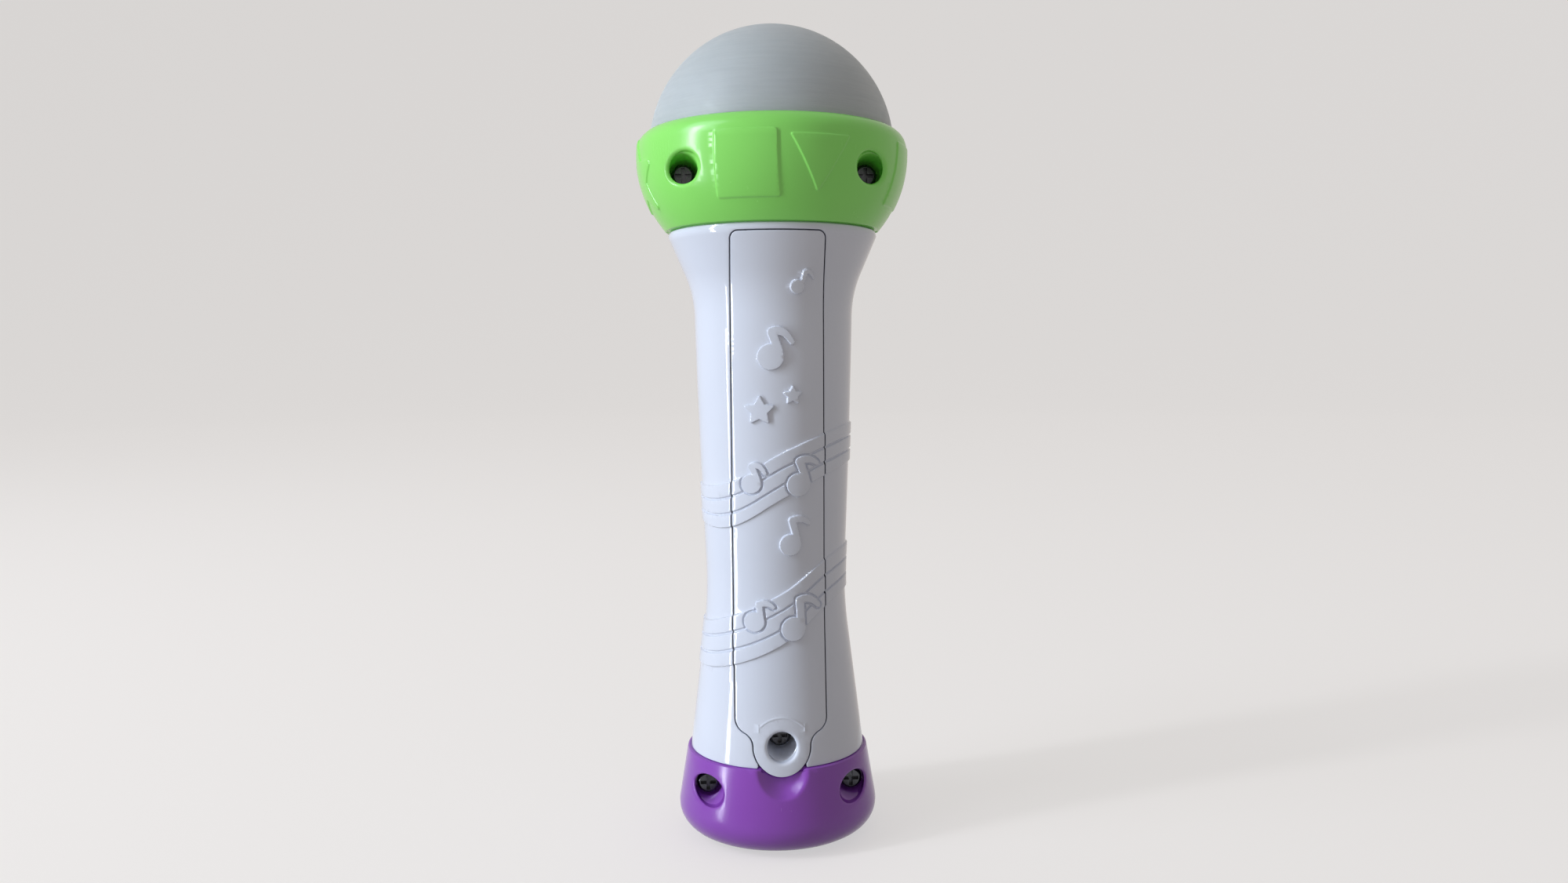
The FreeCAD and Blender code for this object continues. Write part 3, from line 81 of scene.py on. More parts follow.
class Finish:
    """A node material under construction."""

    def __init__(self, name, roughness=0.4, metallic=0.0):
        self.mat = bpy.data.materials.new(name)
        self.mat.use_nodes = True
        self.tree = self.mat.node_tree
        self.shader = self.tree.nodes["Principled BSDF"]
        self.normal = None
        self.set(Roughness=roughness, Metallic=metallic)

    def fill(self, node, sockets):
        """Set a node's sockets by name, with an underscore for each space."""
        for name, value in sockets.items():
            put(self.tree, node.inputs[name.replace("_", " ")], value)

    def node(self, kind, **sockets):
        node = self.tree.nodes.new("ShaderNode" + kind)
        self.fill(node, sockets)
        return node

    def set(self, **sockets):
        self.fill(self.shader, sockets)

    def coords(self, scale=(1, 1, 1)):
        where = self.node("TexCoord").outputs["Object"]
        return self.node("Mapping", Scale=scale, Vector=where).outputs["Vector"]

    def noise(self, scale, detail=3.0, stretch=(1, 1, 1), rough=0.5):
        where = self.coords(stretch)
        return self.node("TexNoise", Scale=scale, Detail=detail, Roughness=rough, Vector=where).outputs["Fac"]

    def ramp(self, value, low, high, out_low=0.0, out_high=1.0):
        limits = {"From_Min": low, "From_Max": high, "To_Min": out_low, "To_Max": out_high}
        return self.node("MapRange", Value=value, **limits).outputs["Result"]

    def math(self, operation, *values):
        return math_node(self.tree, operation, *values)

    def mix(self, factor, a, b):
        node = self.tree.nodes.new("ShaderNodeMix")
        node.data_type = "RGBA"
        for name, value in (("Factor", factor), ("A", a), ("B", b)):
            # there is one socket of this name for each type of data, and only the one in use is enabled
            socket = next(s for s in node.inputs if s.name == name and s.enabled)
            put(self.tree, socket, value)
        return next(s for s in node.outputs if s.enabled)

    def colour(self, value):
        self.set(Base_Color=value)

    def roughness(self, value):
        self.set(Roughness=value)

    def bump(self, height, strength, distance):
        """Add a bump, with its distance in millimetres, on top of the ones before."""
        node = self.node("Bump", Strength=strength, Distance=distance * MM, Height=height)
        if self.normal is not None:
            put(self.tree, node.inputs["Normal"], self.normal)
        self.normal = node.outputs["Normal"]
        self.set(Normal=self.normal)


ORANGE_PEEL = 0.10


def plastic(name, colour, dark, roughness, sub=0.0):
    """Moulded plastic: slight colour drift, faint orange peel, fine handling scratches in the gloss."""
    finish = Finish(name, roughness)
    finish.colour(finish.mix(finish.ramp(finish.noise(28), 0.3, 0.7), dark, colour))
    scratches = finish.ramp(finish.noise(1700, 2, (1, 1, 0.12), 0.6), 0.55, 0.75, 0.0, 0.04)
    smudges = finish.ramp(finish.noise(60, 4), 0.35, 0.75, roughness * 0.8, roughness * 1.25)
    finish.roughness(finish.math("ADD", scratches, smudges))
    finish.bump(finish.noise(380, 2), ORANGE_PEEL, 0.06)
    if sub:
        finish.set(Subsurface_Weight=sub, Subsurface_Radius=(0.004, 0.004, 0.004), Subsurface_Scale=0.5)
    return finish.mat


def metal(name, colour, dark, roughness, stretch=(1, 1, 1)):
    finish = Finish(name, roughness, 1.0)
    finish.colour(finish.mix(finish.ramp(finish.noise(160, 4), 0.35, 0.7), dark, colour))
    finish.roughness(finish.ramp(finish.noise(900, 3, stretch), 0.3, 0.8, roughness * 0.7, roughness * 1.4))
    finish.bump(finish.noise(1500, 2, stretch), 0.25, 0.03)
    return finish.mat


def rubber(name, colour, dark):
    finish = Finish(name, 0.62)
    finish.colour(finish.mix(finish.ramp(finish.noise(220, 4), 0.3, 0.7), dark, colour))
    finish.roughness(finish.ramp(finish.noise(800, 3), 0.3, 0.7, 0.5, 0.75))
    finish.bump(finish.noise(2600, 2), 0.4, 0.05)
    finish.set(Sheen_Weight=0.15, Sheen_Roughness=0.5)
    return finish.mat


def frosted(name):
    """Milky plastic with a fine lathe-like texture in level rings."""
    finish = Finish(name, 0.5)
    rings = finish.noise(1300, 3, (0.05, 0.05, 1.0), 0.6)
    drift = finish.ramp(finish.noise(40, 3), 0.3, 0.7, 0.0, 0.5)
    streaks = finish.ramp(rings, 0.35, 0.65, 0.0, 0.5)
    finish.colour(finish.mix(finish.math("ADD", drift, streaks), (0.47, 0.54, 0.58), (0.53, 0.60, 0.64)))
    finish.roughness(finish.ramp(finish.noise(300, 3, (1, 1, 2)), 0.3, 0.7, 0.40, 0.56))
    finish.bump(rings, 0.5, 0.13)
    finish.bump(finish.noise(2400, 2), 0.35, 0.05)
    finish.set(Subsurface_Weight=0.6, Subsurface_Radius=(0.010, 0.011, 0.012), Subsurface_Scale=1.0)
    finish.set(Transmission_Weight=0.12)
    return finish.mat


def circuit_board(name):
    """Green solder mask over copper tracks that run in two directions."""
    finish = Finish(name, 0.32)
    across = finish.ramp(finish.noise(420, 0, (1, 1, 0.05)), 0.49, 0.53)
    along = finish.ramp(finish.noise(420, 0, (0.05, 1, 1)), 0.50, 0.54)
    tracks = finish.math("MAXIMUM", finish.math("MULTIPLY", across, 0.7), finish.math("MULTIPLY", along, 0.7))
    finish.colour(finish.mix(tracks, (0.012, 0.10, 0.03), (0.04, 0.22, 0.07)))
    finish.bump(tracks, 0.5, 0.03)
    return finish.mat


CELLS_FOOT, CELL_PITCH, BAND_FOOT = 0.040, 0.0535, 0.036


def cell_wrap(name):
    """A plain shrink-wrapped cell: dark sleeve with a coppery top. Heights are metres."""
    finish = Finish(name, 0.25, 0.3)
    split = finish.node("SeparateXYZ", Vector=finish.coords())
    over_foot = finish.math("SUBTRACT", split.outputs["Z"], CELLS_FOOT)
    height = finish.math("FLOORED_MODULO", over_foot, CELL_PITCH)
    band = finish.ramp(height, BAND_FOOT, BAND_FOOT + 0.0002)
    finish.colour(finish.mix(band, (0.02, 0.022, 0.027), (0.50, 0.22, 0.08)))
    finish.roughness(finish.ramp(finish.noise(300, 3), 0.3, 0.7, 0.2, 0.34))
    finish.bump(finish.noise(500, 2, (1, 1, 0.2)), 0.2, 0.04)
    return finish.mat


WHITE = plastic("white_gloss", (0.66, 0.70, 0.80), (0.63, 0.675, 0.78), 0.08)
GREEN = plastic("green_gloss", (0.26, 0.76, 0.14), (0.235, 0.72, 0.125), 0.22)
PURPLE = plastic("purple_satin", (0.26, 0.063, 0.46), (0.225, 0.053, 0.41), 0.20)
DOME = frosted("frosted_dome")
MATERIALS = {
    "white_shell": WHITE,
    "green_ring": GREEN,
    "purple_base": PURPLE,
    "frosted_dome": DOME,
    "circuit_board": circuit_board("circuit_board"),
    "cell_can": cell_wrap("cell_wrap"),
}
for maker, name, *look in (
        (plastic, "inner_plastic", (0.55, 0.57, 0.58), (0.50, 0.52, 0.53), 0.45),
        (plastic, "button_orange", (0.80, 0.17, 0.025), (0.74, 0.15, 0.02), 0.32),
        (plastic, "button_green", (0.16, 0.52, 0.10), (0.14, 0.48, 0.08), 0.32),
        (plastic, "button_purple", (0.20, 0.05, 0.33), (0.18, 0.045, 0.29), 0.32),
        (rubber, "chip_resin", (0.012, 0.012, 0.013), (0.02, 0.02, 0.022)),
        (plastic, "capacitor_sleeve", (0.02, 0.03, 0.07), (0.015, 0.02, 0.05), 0.3),
        (plastic, "led_lens", (0.78, 0.80, 0.82), (0.72, 0.75, 0.78), 0.12, 0.3),
        (rubber, "rubber_grey", (0.30, 0.31, 0.32), (0.26, 0.27, 0.28)),
        (rubber, "rubber_black", (0.022, 0.022, 0.024), (0.03, 0.03, 0.03)),
        (metal, "capsule_can", (0.62, 0.63, 0.65), (0.5, 0.51, 0.53), 0.3),
        # screw heads: steel darkened far below bare steel, as painted shade of the deep bores that they sit
        # in
        (metal, "screw_steel", (0.10, 0.104, 0.115), (0.05, 0.052, 0.058), 0.28),
        (metal, "contact_steel", (0.62, 0.62, 0.60), (0.5, 0.5, 0.48), 0.24, (1, 1, 0.2)),
        (metal, "switch_case", (0.55, 0.56, 0.58), (0.42, 0.43, 0.45), 0.35),
        (metal, "magnet_steel", (0.24, 0.24, 0.25), (0.17, 0.17, 0.18), 0.5),
        (metal, "speaker_basket", (0.5, 0.5, 0.52), (0.4, 0.4, 0.42), 0.4),
        (rubber, "cone_paper", (0.035, 0.033, 0.03), (0.05, 0.047, 0.043)),
        (plastic, "wire_insulation", (0.50, 0.02, 0.02), (0.42, 0.015, 0.015), 0.35),
        (rubber, "foam", (0.07, 0.07, 0.075), (0.045, 0.045, 0.05)),
):
    MATERIALS[name] = maker(name, *look)
SLOT_OF = {row["node"]: row["material_slot"] for row in frame["record"]["subparts"]}
BODY_OF = {node: body for body, nodes in frame["record"]["behaviour"]["bodies"].items() for node in nodes}


def assign(obj, material):
    obj.data.materials.clear()
    obj.data.materials.append(material)


for node, cad in NODES.items():
    assign(cad, MATERIALS[SLOT_OF[node]])


# ---- outlines
def arc_points(start, end, radius, step=0.4):
    """Points after start, up to end. The arc bulges to the right of its run, or to the left if radius < 0."""
    start, end = np.array(start, float), np.array(end, float)
    if not radius:
        return [end]
    chord = end - start
    length = np.hypot(*chord)
    left = np.array((-chord[1], chord[0])) / length
    height = math.sqrt(max(radius ** 2 - length ** 2 / 4, 0))
    centre = (start + end) / 2 + left * math.copysign(height, radius)
    first = math.atan2(*(start - centre)[::-1])
    turn = 2 * math.asin(min(length / 2 / abs(radius), 1)) * math.copysign(1, radius)
    count = max(3, math.ceil(abs(turn * radius) / step))
    turns = [first + turn * k / count for k in range(1, count + 1)]
    return [centre + abs(radius) * np.array((math.cos(t), math.sin(t))) for t in turns]


def trace(start, *runs):
    """A polyline from start through runs of (x, y) or (x, y, radius of the arc that leads there)."""
    points = [np.array(start, float)]
    for run in runs:
        points += arc_points(points[-1], run[:2], run[2] if len(run) > 2 else 0)
    return np.array(points)


def spaced(points, step, closed=False):
    """The same line with points no further apart than step, its corners kept."""
    points = np.asarray(points, float)
    ends = np.roll(points, -1, axis=0) if closed else points[1:]
    out = []
    for a, b in zip(points, ends):
        count = max(1, math.ceil(np.hypot(*(b - a)) / step - 1e-6))
        out += [a + (b - a) * k / count for k in range(count)]
    if not closed:
        out.append(points[-1])
    return np.array(out)


class Surface:
    """A turned surface: radius and height along the length s of its line, which runs upwards."""

    def __init__(self, line, step=0.5):
        line = spaced(line, step)
        self.r, self.z = line[:, 0], line[:, 1]
        self.s = np.concatenate(([0], np.cumsum(np.hypot(np.diff(self.r), np.diff(self.z)))))
        dr, dz = np.gradient(self.r, self.s), np.gradient(self.z, self.s)
        size = np.hypot(dr, dz)
        self.nr, self.nz = dz / size, -dr / size
        self.length = self.s[-1]

    def moved(self, distance):
        return Surface(np.column_stack((self.r + self.nr * distance, self.z + self.nz * distance)))

    def radius(self, s):
        return np.interp(s, self.s, self.r)

    def height(self, s):
        return np.interp(s, self.s, self.z)

    def at_height(self, z):
        return np.interp(z, self.z, self.s)

    def angle(self, x, z, back):
        """The angle of the point of the surface at x and z, on its back or its front."""
        turn = np.arccos(np.clip(x / self.radius(self.at_height(z)), -1, 1))
        return turn if back else -turn

    def points(self, angle, s, lift):
        r = self.radius(s) + np.interp(s, self.s, self.nr) * lift
        z = self.height(s) + np.interp(s, self.s, self.nz) * lift
        return np.column_stack((r * np.cos(angle), r * np.sin(angle), z))


# radius and height; the door's line runs on below the handle's end, into its tab
HANDLE_FOOT, HANDLE_TOP = (22.15, 22.0), 152.3
HANDLE_RUNS = ((18.307, 53.5), (17.8, 71.0, -110), (19.85, 131.0, 2800), (21.75, 140.9, -28), (26.2, 151.2),
               (25.3, HANDLE_TOP, 1.25))
HANDLE = Surface(trace(HANDLE_FOOT, *HANDLE_RUNS))
DOOR = Surface(trace((HANDLE_FOOT[0] + 4 * 0.122, 18.0), HANDLE_FOOT, *HANDLE_RUNS))
RING = Surface(trace((26.6, HANDLE_TOP), (33.6, 171.0, 28.5), (33.6, 172.1), (30.65, 176.392, 4.6)))
BASE = Surface(trace((14.0, 0.0), (21.0, 1.4), (25.2, 8.7, 6.3), (23.1, 21.3), (22.4, 22.0, 0.7)))


# ---- raised patterns
# Each is a height over a turned surface, from the angle, x and z of its points.
def soft(value, start, end):
    """0 up to start and 1 from end, with a smooth rise between them."""
    t = np.clip((value - start) / (end - start), 0, 1)
    return t * t * (3 - 2 * t)


def round_trip(turns, heights):
    """A smooth height all the way round. Turns are degrees from the back towards -X."""
    turns, heights = np.array((turns, heights), float)
    turns = np.concatenate((turns[-2:] - 360, turns, turns[:3] + 360))
    heights = np.concatenate((heights[-2:], heights, heights[:3]))
    slopes = np.gradient(heights, turns)

    def height(turn):
        turn = (turn - turns[2]) % 360 + turns[2]
        i = np.clip(np.searchsorted(turns, turn, side="right") - 1, 0, len(turns) - 2)
        gap = turns[i + 1] - turns[i]
        t = (turn - turns[i]) / gap
        return ((1 + 2 * t) * (1 - t) ** 2 * heights[i] + t * (1 - t) ** 2 * gap * slopes[i]
                + t * t * (3 - 2 * t) * heights[i + 1] + t * t * (t - 1) * gap * slopes[i + 1])

    return height


# the top and the bottom of each stave
UPPER_TURNS = (-90, -34, 5.5, 37.6, 90, 135, 180, 225)
LOWER_TURNS = (-90, -34.5, 4.4, 37.5, 90, 135, 180, 225)
STAVES = (
    (round_trip(UPPER_TURNS, (89.6, 91.5, 98.7, 102.7, 104.7, 101.9, 97.0, 91.5)),
     round_trip(UPPER_TURNS, (80.3, 80.3, 87.45, 92.4, 95.0, 92.3, 87.5, 82.3))),
    (round_trip(LOWER_TURNS, (54.9, 58.6, 64.4, 71.25, 74.2, 71.5, 64.5, 57.5)),
     round_trip(LOWER_TURNS, (44.0, 46.2, 51.9, 59.5, 63.0, 60.3, 53.5, 46.8))),
)
STAVE_LIFT, NOTE_LIFT = 0.45, 0.65
# where the stripes of a stave part, as shares of its height, and the width of the grooves there
STRIPE_EDGES, GROOVE = (0.0, 0.335, 0.69, 1.0), 0.36
# x, z and radius of the head, then the stem's top corner and the flag's tip
NOTES = (
    (-4.6, 137.65, 1.75, -5.75, 141.7, -8.4, 139.7),
    (1.75, 121.1, 3.2, 2.7, 128.1, -3.3, 124.6),
    (-2.65, 75.8, 2.7, -2.0, 82.7, -7.1, 80.9),
    (6.5, 90.7, 2.4, 7.3, 95.8, 3.3, 93.3),
    (-4.65, 90.4, 2.9, -3.7, 97.1, -9.0, 95.5),
    (6.05, 57.0, 2.5, 6.0, 62.1, 1.6, 60.6),
    (-3.2, 55.2, 3.0, -3.5, 63.2, -9.2, 60.5),
)
# x, z and radius to the points
STARS = ((4.45, 108.3, 3.2), (-3.4, 111.9, 2.1))
BORE, DOOR_BORE_Z = 3.67, 27.0
COLLAR = 7.1
# the staves end between these distances from the middle of the front
STAVE_ENDS = (10.8, 11.8)
# nothing of a note or a star lies further than this from its middle
NOTE_REACH, STAR_REACH = 12, 6


def stroke(x, z, start, end, radius_start, radius_end):
    """Distance outside a straight stroke whose width runs from one radius to another."""
    run = np.subtract(end, start)
    t = np.clip(((x - start[0]) * run[0] + (z - start[1]) * run[1]) / (run @ run), 0, 1)
    away = np.hypot(x - start[0] - run[0] * t, z - start[1] - run[1] * t)
    return away - radius_start - (radius_end - radius_start) * t


def note_distance(x, z, head_x, head_z, r, top_x, top_z, tip_x, tip_z):
    """Distance outside a note: a round head, a stem and a curved flag, all sized by the head's radius r."""
    distance = np.hypot(x - head_x, z - head_z) - r
    top = np.array((top_x - 0.40 * r, top_z - 0.36 * r))
    foot = (head_x - 0.60 * r, head_z + 0.45 * r)
    distance = np.minimum(distance, stroke(x, z, foot, top, 0.33 * r, 0.36 * r))
    tip = np.array((tip_x, tip_z))
    bend = np.array(((top_x + tip_x) / 2 - 0.25 * r, top_z + 0.05 * r))
    steps = np.linspace(0, 1, 7)
    curve = [top * (1 - t) ** 2 + bend * 2 * t * (1 - t) + tip * t * t for t in steps]
    widths = np.interp(steps, (0, 0.45, 1), (0.36 * r, 0.34 * r, 0.22 * r))
    for a, b, wide, narrow in zip(curve, curve[1:], widths, widths[1:]):
        distance = np.minimum(distance, stroke(x, z, a, b, wide, narrow))
    return distance


def within(x, y, line):
    """Whether each point at x and y lies in a closed line."""
    hit = np.zeros(x.shape, bool)
    for a, b in zip(line, np.roll(line, -1, axis=0)):
        if a[1] != b[1]:
            hit ^= ((a[1] > y) != (b[1] > y)) & (x < (b[0] - a[0]) * (y - a[1]) / (b[1] - a[1]) + a[0])
    return hit


def polygon_distance(x, z, corners):
    """Signed distance to a closed polygon, negative inside."""
    nearest = np.full(x.shape, 1e9)
    for a, b in zip(corners, np.roll(corners, -1, axis=0)):
        nearest = np.minimum(nearest, stroke(x, z, a, b, 0, 0))
    return np.where(within(x, z, corners), -nearest, nearest)


def star(x, z, centre_x, centre_z, radius, inner=0.52):
    """Distance outside a star of five rounded points; inner is its notches' share of the radius."""
    corners = []
    for k in range(10):
        turn = math.radians(90 + 36 * k)
        reach = radius * (inner if k % 2 else 1)
        corners.append((centre_x + reach * math.cos(turn), centre_z + reach * math.sin(turn)))
    return polygon_distance(x, z, np.array(corners)) - 0.12 * radius


def staves(turn, z, keep):
    """Raised stripes, three to a stave, kept back where keep is under 1."""
    lift = np.zeros(z.shape)
    for top, bottom in STAVES:
        high, low = top(turn), bottom(turn)
        part = (high - z) / (high - low)
        slant = 0.93
        tall = (high - low) * slant
        for first, last in zip(STRIPE_EDGES, STRIPE_EDGES[1:]):
            inset_first = 0 if first == 0 else GROOVE / 2
            inset_last = 0 if last == 1 else GROOVE / 2
            inside = np.minimum((part - first) * tall - inset_first, (last - part) * tall - inset_last)
            lift = np.maximum(lift, STAVE_LIFT * soft(inside, -0.04, 0.17))
    return lift * keep


def handle_lift(angle, x, z):
    """The raised pattern of handle and door: staves, notes, stars, and an arc and ticks by the screw."""
    back = np.sin(angle) > 0
    turn = np.degrees(angle) - 90
    notes = np.full(z.shape, 50.0)
    for row in NOTES:
        near = back & (np.abs(z - row[1]) < NOTE_REACH)
        if near.any():
            notes[near] = np.minimum(notes[near], note_distance(x[near], z[near], *row))
    keep = np.where(back, soft(notes, 0.26, 0.48), soft(np.abs(x), *STAVE_ENDS))
    lift = staves(turn, z, keep)
    lift = np.maximum(lift, NOTE_LIFT * soft(-notes, -0.04, 0.16))
    for row in STARS:
        near = back & (np.hypot(x - row[0], z - row[1]) < STAR_REACH)
        if near.any():
            lift[near] = np.maximum(lift[near], NOTE_LIFT * soft(-star(x[near], z[near], *row), -0.04, 0.18))
    ring = np.abs(np.hypot(x, z - DOOR_BORE_Z) - COLLAR)
    over = soft(z - DOOR_BORE_Z, 4.4, 4.9) * back
    lift = np.maximum(lift, 0.13 * soft(-ring, -0.30, -0.12) * over)
    tick = np.maximum(np.abs(np.abs(x) - 5.6) - 0.06, np.abs(z - 31.4) - 0.8)
    return np.maximum(lift, 0.12 * soft(-tick, -0.2, 0.0) * back)


# kind and turn in degrees from +X of each raised shape round the ring
RING_SHAPES = (("square", 76.7), ("triangle", 106.5), ("square", 162.0), ("star", 11.0), ("circle", 336.0),
               ("triangle", 303.0), ("square", 270.0), ("star", 237.0), ("circle", 202.0))
SHAPE_Z, SHAPE_HALF, SHAPE_LIFT = 164.6, 7.5, 0.29
SQUARE_ROUND, TRIANGLE_ROUND, CIRCLE_RADIUS, STAR_RADIUS, STAR_NOTCH = 0.9, 0.5, 7.4, 8.6, 0.45


def ring_lift(angle, x, z):
    """Plain raised shapes on the ring, with soft edges."""
    lift = np.zeros(z.shape)
    radius = RING.radius(RING.at_height(z))
    for kind, turn in RING_SHAPES:
        off = (np.degrees(angle) - turn + 180) % 360 - 180
        near = np.abs(off) < 28
        if not near.any():
            continue
        across = radius[near] * np.sin(np.radians(off[near]))
        up = z[near] - SHAPE_Z
        if kind == "square":
            outside = np.hypot(np.maximum(np.abs(across) - SHAPE_HALF + SQUARE_ROUND, 0),
                               np.maximum(np.abs(up) - SHAPE_HALF + SQUARE_ROUND, 0)) - SQUARE_ROUND
            distance = np.where(outside > -SQUARE_ROUND, outside,
                                np.maximum(np.abs(across), np.abs(up)) - SHAPE_HALF)
        elif kind == "triangle":
            rise = SHAPE_HALF * math.sqrt(3) / 2
            inset = TRIANGLE_ROUND
            corners = np.array(((0, -rise + 2 * inset), (SHAPE_HALF - 1.7 * inset, rise - inset),
                                (-SHAPE_HALF + 1.7 * inset, rise - inset)))
            distance = polygon_distance(across, up, corners) - inset
        elif kind == "circle":
            distance = np.hypot(across, up) - CIRCLE_RADIUS
        else:
            distance = star(across, up, 0, 0, STAR_RADIUS, STAR_NOTCH)
        lift[near] = np.maximum(lift[near], SHAPE_LIFT * soft(-distance, -0.08, 0.42))
    return lift


SCOOP_ROUND, SCOOP_Y, SCOOP_Z = 9.5, 29.35, 23.0


def base_lift(angle, x, z):
    """The round scoop under the door's tab, cut in by a ball, with a softened rim."""
    radius = BASE.radius(BASE.at_height(z))
    y = radius * np.sin(angle)
    away = np.hypot(np.hypot(x, y - SCOOP_Y), z - SCOOP_Z)
    slant = np.maximum((SCOOP_Y - y) / np.maximum(away, 1e-6), 0.3)
    depth = (SCOOP_ROUND - away) / slant
    rim = 0.35
    soft_depth = (depth + np.sqrt(depth * depth + rim * rim)) / 2 - rim * 0.08
    return -np.where(depth > -2.0, np.maximum(soft_depth * soft(depth, -2.0, -0.6), 0), 0)


# ---- shells on a turned surface
FILLET_TURNS = np.radians((90.0, 67.5, 45.0, 22.5, 0.0))
# the fine grid lies where the height changes by more than BUSY from one of its points to the next
BUSY = 0.012
# how far the grids stay from an edge, and the step of the plain inner side's grid
RIM_CLEAR, INNER_CLEAR, INNER_STEP = 0.16, 0.8, 3.0


class Loop:
    """A closed line on an outer and an inner surface. The shell's material lies on its left."""

    def __init__(self, outer, inner, back=True):
        self.outer, self.inner, self.back = outer, inner, back
        self.rows = []

    def flat(self, points, fillet):
        """Points by x and z, whose wall runs straight along Y."""
        x, z = np.asarray(points, float).T
        columns = []
        for surface in (self.outer, self.inner):
            columns += [surface.angle(x, z, self.back), surface.at_height(z)]
        self.rows.append(np.column_stack((*columns, np.full(len(x), fillet))))
        return self

    def edge(self, turns, shares, fillet):
        """Points by angle and by share of the line's length, from 0 to 1."""
        turns, shares = np.broadcast_arrays(np.radians(np.asarray(turns, float)), np.asarray(shares, float))
        outside, inside = shares * self.outer.length, shares * self.inner.length
        self.rows.append(np.column_stack((turns, outside, turns, inside, np.full(len(turns), fillet))))

    def table(self):
        rows = np.concatenate(self.rows)
        step = np.abs(rows - np.roll(rows, 1, axis=0))[:, :2].sum(axis=1)
        return rows[step > 1e-5]


def leftward(points):
    """The mitred direction to the left of a closed line, at each point."""
    ahead = np.roll(points, -1, axis=0) - points
    ahead /= np.hypot(*ahead.T)[:, None] + 1e-12
    normal = np.column_stack((-ahead[:, 1], ahead[:, 0]))
    both = normal + np.roll(normal, 1, axis=0)
    both /= np.hypot(*both.T)[:, None] + 1e-12
    return both / np.maximum((both * normal).sum(axis=1), 0.5)[:, None]


def sheet_mesh(lines, extra):
    """Triangles of the area inside the first line and outside the others, with extra points within it."""
    count = sum(len(line) for line in lines)
    points = np.concatenate((*lines, extra)) if len(extra) else np.concatenate(lines)
    edges, start = [], 0
    for line in lines:
        edges += [(start + k, start + (k + 1) % len(line)) for k in range(len(line))]
        start += len(line)
    verts, _, faces, origins, _, _ = delaunay_2d_cdt([Vector(p) for p in points], edges, [], 1, 1e-7)
    verts = np.array([tuple(v) for v in verts])
    place = np.full(count, -1)
    for new, olds in enumerate(origins):
        for old in olds:
            if old < count:
                place[old] = new
    faces = np.array([face for face in faces if len(face) == 3])
    middles = verts[faces].mean(axis=1).T
    keep = within(*middles, lines[0])
    for line in lines[1:]:
        keep &= ~within(*middles, line)
    return verts, faces[keep], place


def grid(low, high, step):
    u = np.arange(low[0] + step / 2, high[0], step)
    s = np.arange(low[1] + step / 2, high[1], step)
    return np.stack(np.meshgrid(u, s, indexing="ij"), axis=-1)


def strip(low, high, count):
    """The faces between two closed rows of points. A row can be a single point."""
    faces = []
    for k in range(count):
        after = k + 1
        quad = [low[k % len(low)], low[after % len(low)], high[after % len(high)], high[k % len(high)]]
        quad = [q for i, q in enumerate(quad) if q != quad[i - 1]]
        if len(quad) > 2:
            faces.append(quad)
    return faces


def smooth(mesh):
    mesh.polygons.foreach_set("use_smooth", [True] * len(mesh.polygons))


# degrees between faces from which an edge is sharp, on the new meshes and on what is left of the CAD's
SHARP, CORE_SHARP = 38, 30


def finish_mesh(name, verts, faces, material):
    mesh = bpy.data.meshes.new(name)
    places = [tuple(v) for v in np.asarray(verts) * MM]
    mesh.from_pydata(places, [], [tuple(int(i) for i in f) for f in faces])
    mesh.validate()
    smooth(mesh)
    mesh.set_sharp_from_angle(angle=math.radians(SHARP))
    obj = add(name, mesh)
    assign(obj, material)
    return obj


def stand_for(obj, node):
    """obj stands for a CAD node and moves with its body."""
    body = BODY_OF[node]
    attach(obj, body)
    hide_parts(node)


